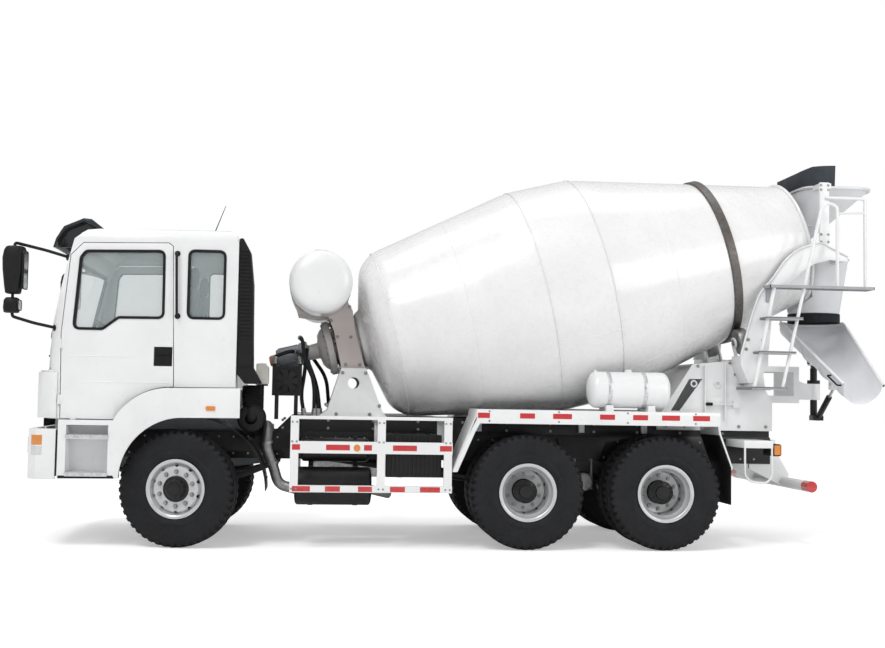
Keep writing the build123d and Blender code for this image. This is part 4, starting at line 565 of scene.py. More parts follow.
def pierced_disc(kind):
    """The wheel's disc with its ten hand holes."""
    face = FACE[kind]
    step = -1 if kind == "outer" else 1
    edge = SEAT - (14 if kind == "front" else 36)
    disc = new()
    lathe(disc, [(face - step * a, r) for a, r in ((0, 104), (0, 214), (6, 222), (52, edge), (64, edge + 2),
                                                   (66, edge - 10), (18, 214), (13, 206), (13, 104))],
          Vector(), X, 72)
    cutter = new()
    for k in range(10):
        t = 2 * math.pi * (k + 0.5) / 10
        arm = Vector((0, math.cos(t), math.sin(t))) * 0.231
        rod(cutter, arm + X * (face - 150) / 1000, arm + X * (face + 150) / 1000, 19, 14)
    for bm in (disc, cutter):
        bmesh.ops.recalc_face_normals(bm, faces=bm.faces)
    objs = [as_object("disc", disc), as_object("cutter", cutter)]
    cut = objs[0].modifiers.new("cut", "BOOLEAN")
    cut.object = objs[1]
    cut.operation = "DIFFERENCE"
    done = bpy.data.meshes.new_from_object(objs[0].evaluated_get(bpy.context.evaluated_depsgraph_get()))
    for obj in objs:
        bpy.data.objects.remove(obj)
    return done


def wheel_mesh(kind):
    """Rim, disc, nuts and hub along +X outwards, centred on the tyre. Slots: silver, black, steel."""
    face = FACE[kind]
    bm = new()
    lathe(bm, rim_profile(), Vector(), X, 72)
    bm.from_mesh(pierced_disc(kind))
    if kind != "inner":
        black, nuts = 1, new()
        bolt_circle(nuts, X * face / 1000, X, 167.5, 10, 19, 30, math.pi / 10)
        for f in nuts.faces:
            f.material_index = 2
        hub = FRONT_HUB if kind == "front" else REAR_HUB
        lathe(nuts, [(face + a, r) for a, r in hub], Vector(), X, 40, black)
        cap = (46, 76, 8, 8, 15) if kind == "front" else (150, 96, 12, 9, 14)
        bolt_circle(nuts, X * (face + cap[0]) / 1000, X, *cap[1:])
        for f in nuts.faces:
            f.material_index = f.material_index or black
        mesh = bpy.data.meshes.new("nuts")
        nuts.to_mesh(mesh)
        nuts.free()
        bm.from_mesh(mesh)
    bmesh.ops.remove_doubles(bm, verts=bm.verts, dist=2e-5)
    wheel = bpy.data.meshes.new("wheel_" + kind)
    bm.to_mesh(wheel)
    bm.free()
    return wheel


MASTER = {kind: wheel_mesh(kind) for kind in ("front", "outer", "inner")}
for body, wheels in WHEELS.items():
    rubber, metal = new(), new()
    for centre, out, kind in wheels:
        tyre(rubber, centre, out)
        d, s, u = basis(out)
        turn = Matrix((d, s, u)).transposed().to_4x4()
        copy = MASTER[kind].copy()
        copy.transform(Matrix.Translation(centre) @ turn)
        metal.from_mesh(copy)
        if kind == "inner":     # brake drum behind the twins
            lathe(metal, ((-150, 60), (-150, 205), (-140, 212), (40, 212), (40, 60)), centre, out, 40, 1)
        if kind == "front":
            lathe(metal, ((-110, 60), (-110, 196), (-100, 204), (30, 204), (30, 60)), centre, out, 40, 1)
            lathe(metal, ((18, 46), (18, 60), (100, 60), (100, 46)), centre, out, 24, 1)
    tyre_node = body.replace("wheel", "tyre", 1)
    finish_piece(tyre_node + "_tread", rubber, TYRE, body, "tyre", (tyre_node,), smooth=38)
    finish_piece(body + "_dressed", metal, [RIM, BLACK, STEEL], body, "rim_silver", (body,), smooth=35)

# ------------------------------------------------------------------ drum
d_axis = Vector((math.cos(DRUM_TILT), 0, math.sin(DRUM_TILT)))
d_up = Vector((-math.sin(DRUM_TILT), 0, math.cos(DRUM_TILT)))
d_origin = V(DRUM_X, 0, DRUM_Z)


MOUTH_S, MOUTH_R = 4940, 660
CONE = (1230 - MOUTH_R) / (MOUTH_S - 2584)


def skin_r(s):
    """Radius of the drum's skin, s along its axis."""
    if s <= 1912:
        return 903 + (s - 329) * 329 / 1583
    return 1231 if s <= 2584 else 1230 - (s - 2584) * CONE


def on_drum(s, r, t):
    """A place s along the drum's axis, r from it, at angle t from its top."""
    return d_origin + d_axis * (s / 1000) + (d_up * math.cos(t) + Y * math.sin(t)) * (r / 1000)


def drum_rib(bm, t, half_angle, foot, line):
    """A rib at angle t round the drum's axis, from radius foot out to each (s, radius) of its line."""
    ends = (-half_angle, half_angle)
    loft(bm, [[on_drum(s, r, t + dt) for dt in ends] + [on_drum(s, foot, t + dt) for dt in ends[::-1]]
              for s, r in line])


bm = new()
skin = ((0, 120), (0, 300), (60, 330), (170, 770), (329, 903), (1912, 1232), (2584, 1230), (MOUTH_S, MOUTH_R))
inside = ((MOUTH_S, MOUTH_R - 8), (2584, 1222), (1912, 1224), (334, 895), (182, 762), (70, 322), (62, 120))
lathe(bm, soft(skin, 130) + soft(inside, 130), d_origin, d_axis, 128)
torus(bm, on_drum(4921, 0, 0), d_axis, 676, 17, 18, 12, 96)      # rolled lip of the mouth
# weld seams between the rolled shells, and along each of them
for s in (330, 1120, 1912, 2584, 3300, 4500):
    r = skin_r(s)
    lathe(bm, ((s - 7, r - 3), (s - 4, r + 1.6), (s + 4, r + 1.6), (s + 7, r - 3)), d_origin, d_axis, 128)
for s0, s1, t in ((340, 1112, -1.2), (1130, 1900, 0.9), (1925, 2575, -2.0), (2596, 3290, -2.45),
                  (3310, 3915, -2.45), (4030, 4490, 1.4)):
    tube(bm, [on_drum(s, skin_r(s) - 3, t) for s in (s0, s1)], 5, 8)
# flange bolts at the drive end
bolt_circle(bm, d_origin + d_axis * 0.012, -d_axis, 210, 16, 13, 16)
finish_piece("drum_barrel", bm, DRUM_WHITE, "drum", "white_paint", ("drum_shell",), smooth=24)

bm = new()      # two spiral blades, seen through the mouth
for start in (0, math.pi):
    rows = []
    for k in range(90):
        s = 2700 + 2180 * k / 89
        r = skin_r(s) - 8
        t = start + (s - 2700) / 1350 * 2 * math.pi
        height = 380 - 200 * k / 89
        rows.append([on_drum(s - 3, r + 4, t), on_drum(s + 3, r + 4, t),
                     on_drum(s + 3, r - height, t), on_drum(s - 3, r - height, t)])
    loft(bm, rows)
finish_piece("drum_blades", bm, STEEL, "drum", "white_paint", smooth=40)

bm = new()
lathe(bm, ((-56, 904), (-45, 912), (-42, 921), (-39, 924), (39, 924), (42, 921), (46, 900), (56, 882),
           (46, 876), (-54, 898)), on_drum(3975, 0, 0), d_axis, 128)
finish_piece("running_ring", bm, BAND, "drum", "bare_steel", ("drum_ring",), smooth=24)

for body in ("roller_left", "roller_right"):
    lo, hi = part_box(body)
    centre = (lo + hi) / 2
    bm = new()
    lathe(bm, ((-55, 36), (-55, 128), (-49, 136), (-40, 140), (40, 140), (49, 136), (55, 128), (55, 36),
               (48, 60), (42, 100), (30, 108), (-30, 108), (-42, 100), (-48, 60)), centre, d_axis, 56)
    lathe(bm, ((-95, 0), (-95, 35), (95, 35), (95, 0)), centre, d_axis, 24)
    for end in (-1, 1):
        bolt(bm, centre + d_axis * (0.095 * end), d_axis * end, 14, 10)
    finish_piece(body + "_turned", bm, STEEL, body, "machined_iron", (body,), smooth=30)

# ------------------------------------------------------------------ cab
def arc_through(a, b, c):
    """Centre and radius of the arc through three (x, y) points."""
    (ax, ay), (bx, by), (cx, cy) = a, b, c
    d = 2 * (ax * (by - cy) + bx * (cy - ay) + cx * (ay - by))
    qa, qb, qc = ax * ax + ay * ay, bx * bx + by * by, cx * cx + cy * cy
    ux = (qa * (by - cy) + qb * (cy - ay) + qc * (ay - by)) / d
    uy = (qa * (cx - bx) + qb * (ax - cx) + qc * (bx - ax)) / d
    return ux, uy, math.hypot(ax - ux, ay - uy)


BOW = arc_through((-1300, -960), (-1478, 0), (-1300, 960))
CORNER = arc_through((-1300, 960), (-1240, 1098), (-1100, 1150))
# (height, x) up the front's middle, and (half width, x) round the lower nose
FRONT_LINE = ((1236, -1391), (1690, -1396), (1720, -1340), (1941, -1318), (2623, -1170), (2985, -1080),
              (3078, -960))
NOSE = ((0, -1448), (700, -1440), (900, -1424), (1010, -1392), (1080, -1345), (1130, -1280), (1150, -1240))


def along(line, place):
    """Value of a line of (place, value) points."""
    for (pa, a), (pb, b) in zip(line, line[1:]):
        if pa <= place <= pb:
            return a + (b - a) * (place - pa) / (pb - pa)
    return line[0][1] if place < line[0][0] else line[-1][1]


def front_x(y, z):
    """Where the cab's front stands."""
    y = min(abs(y), 1149)
    cx, cy, r = BOW if y <= 960 else CORNER
    return max(along(FRONT_LINE, z), cx - math.sqrt(max(0, r * r - (y - cy) ** 2)))


def nose_x(y, z):
    return along(NOSE, abs(y))


def screen(y, z, off=0.0):
    """A point on the slanted front plane, off mm proud of it."""
    lo, hi = ((-1318, 1941), (-1170, 2623)) if z < 2623 else ((-1170, 2623), (-1080, 2985))
    run, rise = hi[0] - lo[0], hi[1] - lo[1]
    n = math.hypot(run, rise)
    return V(lo[0] + (z - lo[1]) * run / rise - off * rise / n, y, z + off * run / n)


def front_plate(bm, y0, y1, z0, z1, proud, depth, steps, line=nose_x):
    """A sheet that follows the nose or the whole front, proud of it."""
    rings = []
    for k in range(steps + 1):
        y = y0 + (y1 - y0) * k / steps
        a, b = line(y, z0) - proud, line(y, z1) - proud
        rings.append([V(x, y, z) for x, z in ((a, z0), (b, z1), (b + depth, z1), (a + depth, z0))])
    loft(bm, rings)


CAB_OUT = 1150          # half width of the cab's sides
DOOR_SEAMS = ((2, 1600), (0, -652), (0, -540), (0, -430), (0, -310), (0, -195))
DOOR_WINDOW = ((-1060, 2112), (-790, 2112), (-640, 2228), (-216, 2232), (-221, 2880), (-965, 2862),
               (-1010, 2800))

dress("cab_shell", WHITE, 5, 40)
bm = new()
# seal of the windscreen, then of the quarter and rear windows
ring = block_outline(-1000, 1000, 2010, 2790, 90)
loft(bm, [[screen(y, z, proud) for y, z in shrink(ring, inset)]
          for inset, proud in ((-10, 1), (0, 9), (26, 9), (26, -24), (0, -24))], cap=False)
for side in (-1, 1):
    ring = block_outline(24.5, 369.5, 2235, 2895, 60)
    ring_prism(bm, shrink(ring, -14), shrink(ring, 10), side * (CAB_OUT - 4), side * (CAB_OUT + 5))
    ring_prism(bm, shrink(ring, -2), shrink(ring, 12), side * (CAB_OUT - 40), side * (CAB_OUT + 3))
ring = block_outline(-600, 600, 2280, 2840, 60)
loft(bm, [[V(x, y, z) for y, z in shrink(ring, inset)]
          for inset, x in ((-12, 506), (10, 506), (10, 470), (-2, 470))], cap=False)
finish_piece("window_seals", bm, RUBBER, "cab", "rubber", bevel=2, smooth=40)

bm = new()      # nose: grille surround and corner panels
for side in (-1, 1):
    front_plate(bm, side * 640, side * 1148, 1240, 1684, 0, 22, 18)
front_plate(bm, -640, 640, 1600, 1684, 0, 60, 10)
front_plate(bm, -640, 640, 1240, 1300, 0, 60, 10)
for z in (1340, 1400, 1460, 1520, 1575):
    front_plate(bm, -640, 640, z - 9, z + 9, -6, 26, 10)
front_plate(bm, -1120, 1120, 1684, 1700, -16, 40, 24)
# front flap above the grille
front_plate(bm, -900, 900, 1735, 1925, 6, 12, 20, front_x)
finish_piece("nose_panels", bm, WHITE, "cab", "white_paint", bevel=4, smooth=38)
bm = new()      # dark mesh behind the grille's bars, and the line under the flap
front_plate(bm, -636, 636, 1302, 1598, -32, 8, 10)
for y in (-420, -210, 0, 210, 420):
    front_plate(bm, y - 5, y + 5, 1302, 1598, -20, 8, 1)
front_plate(bm, -1000, 1000, 1716, 1730, 2, 14, 20, front_x)
inner, outer = front_x(520, 1850), front_x(690, 1850)
handle = ((inner + 2, 420), (inner - 48, 430), (inner - 48, 690), (outer + 2, 700))
for side in (-1, 1):        # the flap's grab handles
    pipe(bm, [(x, side * y, 1850) for x, y in handle], 25, 11)
sweep = 560                 # length of a wiper's blade
for y in (-620, -40):
    rod(bm, screen(y, 1975, -10), screen(y, 1975, 24), 16)
    tube(bm, [screen(y, 1975, 22), screen(y + sweep * 0.45, 2015, 34), screen(y + sweep * 0.55, 2050, 22)], 7)
    blade = ((-7, 9), (7, 9), (5, 20), (-5, 20))
    loft(bm, [[screen(y + sweep * t, 2048 + 16 * t + dz, off) for dz, off in blade]
              for t in (0.05, 0.5, 1.0)])
    tube(bm, [screen(y + sweep * 0.2, 2056, 24), screen(y + sweep * 0.85, 2066, 24)], 4)
# roof aerial
tube(bm, [V(170, -300, 3104), V(176, -300, 3150), V(299, -300, 3476)], 4, radii=(10, 6, 3))
rod(bm, V(170, -300, 3100), V(171, -300, 3150), 24, end_radius=10)
finish_piece("front_blacks", bm, PLASTIC, "cab", "black_plastic", smooth=40)

for side, word in ((-1, "left"), (1, "right")):
    body = "door_" + word
    dress(body, WHITE, 4, 40, DOOR_SEAMS)
    dress("door_glass_" + word, GLASS, 1, 40)
    bm = new()
    ring = rounded(DOOR_WINDOW, 55)
    ring_prism(bm, shrink(ring, -16), shrink(ring, 9), side * (CAB_OUT - 4), side * (CAB_OUT + 6))
    ring_prism(bm, shrink(ring, -1), shrink(ring, 10), side * (CAB_OUT - 52), side * (CAB_OUT + 4))
    # dark lining of the handle's recess, its bar and lock
    box(bm, -291, -117, side * (CAB_OUT - 14), side * (CAB_OUT - 12), 1759, 1945)
    box(bm, -277, -131, side * (CAB_OUT - 12), side * (CAB_OUT - 1), 1870, 1928)
    rod(bm, V(-204, side * (CAB_OUT - 14), 1806), V(-204, side * (CAB_OUT - 3), 1806), 15, 20)
    finish_piece("door_blacks_" + word, bm, PLASTIC, body, "black_plastic", bevel=2, smooth=38)
    bm = new()      # pressed swage lines
    for z0, z1, x0, x1 in ((1838, 1850, -1098, -462), (1590, 1602, -994, -130)):
        section = ((0, 0), (3.5, 3), (3.5, z1 - z0 - 3), (0, z1 - z0))
        loft(bm, [[V(x, side * (CAB_OUT - 1 + (o if x0 < x < x1 else 0)), z0 + dz) for o, dz in section]
                  for x in (x0, x0 + 20, x1 - 20, x1)])
    finish_piece("door_swages_" + word, bm, WHITE, body, "white_paint", smooth=60)
    bm = new()
    box(bm, -1040, -180, side * (CAB_OUT - 70), side * (CAB_OUT - 56), 1300, 2080)
    box(bm, -760, -300, side * (CAB_OUT - 120), side * (CAB_OUT - 60), 1940, 1985)
    finish_piece("door_lining_" + word, bm, PANEL, body, "cab_interior", bevel=5, smooth=40)
    bm = new()      # grab bar behind the door, on the cab's corner post
    bar = ((-92, 0, 2862), (-97, 46, 2862), (-79, 46, 2249), (-76, 0, 2249))
    pipe(bm, [(x, side * (CAB_OUT + y), z) for x, y, z in bar], 34, 13, 12)
    for x, z in ((-92, 2862), (-76, 2249)):
        rod(bm, V(x, side * (CAB_OUT - 2), z), V(x, side * (CAB_OUT + 6), z), 28, 16)
    finish_piece("grab_bar_" + word, bm, PLASTIC, "cab", "black_plastic", smooth=50)

dress("cab_glass", GLASS, 1, 40)
dress("sun_visor", VISOR, 4, 40)
bm = new()
for y in (-780, -390, 0, 390, 780):     # marker lamps on the visor's brow
    lathe(bm, ((0, 0), (0, 34), (14, 34), (26, 24), (30, 0)), V(-1262, y, 3088), Vector((-0.86, 0, 0.5)), 20)
finish_piece("visor_lamps", bm, AMBER, "cab", "lamp_lens", smooth=50)


# mirrors: rounded housings on two bowed arms
def squircle(cx, cy, hx, hy, n=24, power=3.2):
    """A rounded oblong round (cx, cy)."""
    out = []
    for k in range(n):
        t = 2 * math.pi * k / n
        c, s = math.cos(t), math.sin(t)
        out.append((cx + hx * math.copysign(abs(c) ** (2 / power), c),
                    cy + hy * math.copysign(abs(s) ** (2 / power), s)))
    return out


MIRROR_Y = 1340
# height, front, back and half width of each section of the large and the small housing
HOUSINGS = (((2415, -1650, -1542, 60), (2422, -1664, -1530, 84), (2500, -1676, -1516, 92),
             (2645, -1694, -1492, 97), (2760, -1699, -1490, 99), (2830, -1686, -1491, 97),
             (2860, -1668, -1502, 88), (2869, -1650, -1520, 62)),
            ((2234, -1662, -1548, 50), (2240, -1672, -1538, 72), (2280, -1678, -1532, 84),
             (2350, -1674, -1534, 82), (2372, -1660, -1544, 70), (2379, -1648, -1556, 50)))
MIRROR_ARMS = (((-1600, 1340, 2855), (-1594, 1330, 2905), (-1330, 1200, 2852), (-1128, 1098, 2800)),
               ((-1600, 1340, 2240), (-1596, 1330, 2200), (-1430, 1190, 2150), (-1240, 1072, 2112)))
bm, glass_bm = new(), new()
for side in (-1, 1):
    for rows in HOUSINGS:
        loft(bm, [[V(x, side * MIRROR_Y + y, z) for x, y in squircle((a + b) / 2, 0, (b - a) / 2, w)]
                  for z, a, b, w in rows])
    for z0, z1, x, w in ((2465, 2820, -1489, 82), (2262, 2352, -1532, 66)):
        ring = block_outline(-w, w, z0, z1, 30)
        loft(bm, [[V(x + dx, side * MIRROR_Y + y, z) for y, z in shrink(ring, inset)]
                  for dx, inset in ((-12, -6), (6, -6), (6, 0), (2, 0))], cap=False)
        loft(glass_bm, [[V(x + dx, side * MIRROR_Y + y, z) for y, z in ring] for dx in (-6, 3)])
    for arm in MIRROR_ARMS:
        pipe(bm, [(x, side * y, z) for x, y, z in arm], 40, 15, 12)
    tube(bm, [V(-1600, side * MIRROR_Y, z) for z in (2840, 2250)], 14, 12)
    for x, y, z in ((-1140, 1104, 2800), (-1248, 1076, 2112)):
        rod(bm, V(x - 14, side * (y + 8), z), V(x + 14, side * (y - 8), z), 30, 16)
# front view mirror over the windscreen's right corner
loft(bm, [[V(x, 960 + y, z) for x, y in squircle(-1310, 0, w * 0.5, w, 20)]
          for z, w in ((2830, 50), (2838, 78), (2890, 92), (2915, 70))])
pipe(bm, ((-1300, 960, 2905), (-1290, 960, 2960), (-1140, 960, 2900)), 30, 11)
finish_piece("mirror_housings", bm, PLASTIC, "cab", "mirrors", ("mirrors",), smooth=42)
finish_piece("mirror_glasses", glass_bm, MIRROR, "cab", "glass", smooth=30)

# inside: seats, steering wheel, gear lever and instrument cowl
dress("cab_interior", PANEL, 12, 40)
CUSHION = ((-570, 1890, 1930, 225), (-520, 1895, 1975, 245), (-300, 1895, 1985, 250), (-80, 1895, 1970, 245))
BACKREST = ((1930, -90, 60, 235), (2000, -80, 75, 250), (2300, -40, 70, 245), (2530, 0, 55, 215),
            (2580, 6, 30, 150))
HEADREST = ((2590, 12, 34, 110), (2640, 16, 46, 140), (2740, 26, 42, 135), (2780, 30, 20, 90))
SEAT_Y = 560
bm = new()
for y in (-SEAT_Y, SEAT_Y):
    loft(bm, [[V(x, y + a, z) for a, z in squircle(0, (z0 + z1) / 2, w, (z1 - z0) / 2 + 20, 20, 4)]
              for x, z0, z1, w in CUSHION])
    for rows in (BACKREST, HEADREST):
        loft(bm, [[V(x + a, y + b, z) for a, b in squircle(0, 0, thick, w, 20, 4)]
                  for z, x, thick, w in rows])
finish_piece("seats", bm, VINYL, "cab", "cab_interior", smooth=60)
bm = new()
hub, tip = V(-900, -SEAT_Y, 1900), V(-770, -SEAT_Y, 2080)
axis = (tip - hub).normalized()
rod(bm, hub - axis * 0.12, tip, 30, 16)
torus(bm, tip, axis, 225, 18, 15, 10, 40)
lathe(bm, ((-20, 0), (-20, 60), (10, 70), (26, 50), (30, 0)), tip, axis, 24)
d, s, u = basis(axis)
for t in (0.4, 2.75, 4.71):
    arm = s * math.cos(t) + u * math.sin(t)
    tube(bm, [tip + arm * 0.05, tip + arm * 0.222], 14, 8)
box(bm, -120, 20, -80, 80, 1640, 1760)
rod(bm, V(-60, 0, 1750), V(-110, -40, 2060), 10)
lathe(bm, ((0, 0), (4, 26), (40, 30), (60, 20), (64, 0)), V(-106, -38, 2040), Vector((-0.15, -0.12, 1)), 16)
box(bm, -1085, -1015, -760, -380, 1985, 2050)
finish_piece("controls", bm, PLASTIC, "cab", "cab_interior", smooth=45)

# snorkel: louvred intake down the cab's left rear corner, and its bellows to the filter
SNORKEL_LINE = ((503, 3036), (540, 3038), (612, 2908), (646, 2595), (655, 2040), (662, 1762), (742, 1622),
                (744, 1604), (585, 1602), (503, 1702))
bm = new()
prism(bm, rounded(SNORKEL_LINE, 22), -1120, -838)
finish_piece("snorkel", bm, PLASTIC, "cab", "air_intake", ("air_intake",), bevel=10, smooth=40)
louvre = ((1118, 0), (1129, 2), (1130, 8), (1118, 22))
bm = new()
for k in range(24):      # louvres on the outer face, shorter where its rear edge slants
    z = 2080 + 36 * k
    right = 640 - 34 * max(0, z - 2600) / 320
    loft(bm, [[V(x, -y, z + dz) for y, dz in louvre] for x in (520, right - 12)])
for x0, x1, z in ((516, 650, 2052), (520, 655, 1770)):
    box(bm, x0, x1, -1127, -832, z - 7, z + 7)
finish_piece("snorkel_louvres", bm, PLASTIC, "cab", "air_intake", smooth=30)

bellows = [(z, 102 if k % 2 else 90) for k, z in enumerate(range(-98, 110, 11))] + [(110, 70), (-98, 70)]
bm = new()
lathe(bm, bellows, V(652, -930, 1480), Z, 36)
pipe(bm, ((655, -930, 1385), (655, -930, 1260), (655, -820, 1262)), 80, 84, 24)
lathe(bm, ((-500, 60), (-500, 120), (-490, 132), (-20, 132), (-8, 124), (0, 96), (0, 60)),
      V(650, -1004, 1260), -Y, 44)
for y in (-960, -780, -600):
    collar(bm, V(650, y, 1260), -Y, 9, 128, 137, 44)
box(bm, 646, 654, -1012, -990, 1380, 1396)
box(bm, 575, 725, -520, -RAIL_Y, 1085, 1220)        # its foot on the frame
# stand of the expansion tank
box(bm, 690, 750, -460, -RAIL_Y, 1080, 1600)
box(bm, 680, 790, -636, -RAIL_Y, 1588, 1602)
box(bm, 668, 678, -630, -410, 1600, 1640)
finish_piece("air_cleaner", bm, PLASTIC, "chassis", "air_filter", ("air_filter",), smooth=38)
bm = new()
ring = rounded(((672, 1604), (798, 1604), (798, 1780), (760, 1816), (672, 1816)), 22)
prism(bm, ring, -636, -404)
rod(bm, V(735, -520, 1800), V(735, -520, 1820), 40, 24)
finish_piece("expansion_tank", bm, TANK_PLASTIC, "chassis", "air_filter", bevel=8, smooth=40)

# ------------------------------------------------------------------ bumper, wings and steps
dress("bumper", WHITE, 7, 40)
bm = new()
for side in (-1, 1):        # painted shade: a black sheet standing in the gap between bumper and step well
    box(bm, -1182, -1164, side * 1180, side * 1226, 690, 1132)
front_plate(bm, -640, 640, 1148, 1232, -20, 10, 10)
box(bm, -1476, -1468, -440, 440, 676, 700)      # shield over the towing jaw
finish_piece("bumper_blacks_and_gap_shade", bm, PLASTIC, "chassis", "black_plastic", bevel=2, smooth=40)
CORNER_LINE = ((-1306, 1231.5), (-1340, 1231.5), (-1362, 1231), (-1400, 1196), (-1416, 1180))
bm, clear = new(), new()
for side in (-1, 1):
    for z0, z1, target in ((985, 1080, bm), (890, 975, clear)):
        section = ((0, 0, z0), (0, 0, z1), (12, 14, z1), (12, 14, z0))
        loft(target, [[V(x + dx, side * (y - dy), z) for dx, dy, z in section] for x, y in CORNER_LINE])
    lathe(bm, ((0, 0), (0, 44), (10, 44), (18, 34), (20, 0)), V(-1474, side * 690, 980), -X, 28)
finish_piece("corner_lamps_amber", bm, AMBER, "chassis", "lamp_lens", bevel=2, smooth=40)
finish_piece("corner_lamps_clear", clear, CLEAR, "chassis", "lamp_lens", bevel=2, smooth=40)
bm = new()
for side in (-1, 1):
    for y in (832, 986):
        lathe(bm, ((-18, 0), (-16, 40), (-6, 62), (6, 70), (8, 66), (0, 60)), V(-1462, side * y, 980), -X, 32)
    box(bm, -1462, -1450, side * 764, side * 1056, 904, 1056)
finish_piece("lamp_bowls", bm, BRIGHT, "chassis", "headlamps", smooth=50)
dress("headlamps", CLEAR, 3, 40)

dress("front_fenders", WHITE, 5, 40, ((0, -650),))
bm, alloy = new(), new()
skirt = rounded(((-1150, 668), (-620, 672), (-640, 700), (-1150, 696)), 8)
for side in (-1, 1):
    prism(bm, skirt, side * 1225, side * 1232)      # black skirt under the well
    for z in (690, 1048):
        box(alloy, -1088, -687, side * 1020, side * 1242, z + 30, z + 38)
        for j in range(4):      # rows of studs
            for k in range(9 - j % 2):
                x, y = -1066 + 44 * k + 22 * (j % 2), 1058 + 46 * j
                lathe(alloy, ((36, 10), (42, 9), (43, 0)), V(x, side * y, z), Z, 8, closed_profile=False)
        box(alloy, -1088, -687, side * 1236, side * 1243, z + 4, z + 38)
finish_piece("step_wells", bm, PLASTIC, "chassis", "black_plastic", smooth=35)
finish_piece("step_treads", alloy, ALLOY, "chassis", "bare_steel", smooth=35)
bm = new()
ring = block_outline(228, 318, 1334, 1378, 10)
for side in (-1, 1):
    loft(bm, [[V(x, side * y, z) for x, z in shrink(ring, inset)]
              for y, inset in ((1229, 0), (1239, 0), (1244, 4))])
    lathe(bm, ((0, 0), (0, 34), (6, 32), (9, 0)), V(1697, side * GUARD_Y, 992), Y * side, 20)
finish_piece("side_markers", bm, AMBER, "chassis", "lamp_lens", smooth=45)

dress("mudguards", PLASTIC, 2, 40)
ARCH_X, ARCH_Z, ARCH_R = 115, 562, 708      # the front mudguard's arc
bm = new()
for side in (-1, 1):        # ribs of the mudguard, edge beads of the rear flaps
    for a in (0.15, 0.5, 0.85, 1.2, 1.5):
        x, z = ARCH_X + ARCH_R * math.cos(a), ARCH_Z + ARCH_R * math.sin(a)
        rod(bm, V(x, side * 660, z), V(x, side * 1190, z), 6, 8)
    for z in (500, 790):
        box(bm, 5474, 5479, side * 620, side * 1208, z - 6, z + 6)
finish_piece("mudguard_ribs", bm, PLASTIC, "chassis", "mudguards", smooth=45)

# ------------------------------------------------------------------ chassis
for node, mat, bevel in (("chassis_frame", BLACK, 2), ("subframe", BLACK, 3), ("engine", IRON, 14),
                         ("front_axle", BLACK, 4), ("rear_axles", BLACK, 6), ("track_rod", BLACK, 1),
                         ("knuckle_left", IRON, 3), ("knuckle_right", IRON, 3)):
    dress(node, mat, bevel, 35)
bm = new()
side_bolts(bm, RAIL_Y, grid(range(-1050, 6150, 150), (890, 1060)), 9, 8)
side_bolts(bm, RAIL_Y, grid(range(950, 6100, 470), (1160, 1240)), 12, 12)
for side in (-1, 1):
    for x in (-60, 60):         # U-bolts of the front springs
        for y in (370, 462):
            rod(bm, V(x, side * y, 520), V(x, side * y, 700), 11, 10)
            bolt(bm, V(x, side * y, 540), -Z, 16, 22)
    for dx in (-90, 90):        # U-bolts and trunnion cap of the bogie
        for y in (455, 545):
            rod(bm, V(TANDEM_X + dx, side * y, 560), V(TANDEM_X + dx, side * y, 880), 13, 10)
    lathe(bm, ((-10, 0), (-10, 95), (40, 95), (52, 80), (56, 0)), V(TANDEM_X, side * 566, 640), Y * side, 28)
    bolt_circle(bm, V(TANDEM_X, side * 622, 640), Y * side, 60, 6, 9, 10)
finish_piece("frame_bolts", bm, STEEL, "chassis", "machined_iron", smooth=35)
leaf = ((376, -20), (454, -20), (454, -3), (376, -3))
bm = new()
for side in (-1, 1):        # leaves of the front springs, brake chambers at each axle
    for k in range(4):
        reach = 840 - 170 * k
        line = [(x, 641 - 22 * k + 150 * (x / 860) ** 2) for x in (reach * (j / 8 - 1) for j in range(17))]
        loft(bm, [[V(x, side * y, z + dz) for y, dz in leaf] for x, z in line])
    for x, z in ((3200, 760), (4600, 760), (3650, 700), (5050, 700)):
        lathe(bm, ((-90, 0), (-90, 70), (-70, 84), (-6, 84), (-6, 92), (6, 92), (6, 84), (70, 84), (92, 66),
                   (96, 0)), V(x, side * 500, z), Vector((1, 0, 0.25)), 28)
finish_piece("springs_and_chambers", bm, BLACK, "chassis", "black_paint", smooth=38)

# exhaust: pipe over the rail, silencer with rolled ends and straps
EXHAUST_ROUTE = ((760, -300, 1185), (815, -640, 1180), (790, -800, 980), (870, -800, 800), (930, -800, 600),
                 (1100, -830, 560))
bm = new()
pipe(bm, EXHAUST_ROUTE, 130, 52, 28, 8)
for x, y, z in ((866, -800, 808), (800, -775, 1010)):
    collar(bm, V(x, y, z), Vector((0.3, 0, -1)), 14, 50, 66)
tube(bm, [V(1840, -776, 560), V(2050, -600, 500)], 47, 24)
finish_piece("exhaust_pipe", bm, STEEL, "chassis", "exhaust", ("exhaust",), smooth=45)
bm = new()
vessel(bm, V(1475.5, -830, 594), X, 385.5, ((0, 120), (8, 168), (24, 188), (40, 190)), 56)
for x in (1250, 1700):
    collar(bm, V(x, -830, 594), X, 24, 187, 195, 56)
    box(bm, x - 25, x + 25, -872, -RAIL_Y, 768, 797)
    box(bm, x - 25, x + 25, -446, -RAIL_Y, 768, 930)
finish_piece("silencer", bm, BLACK, "chassis", "exhaust", smooth=40)

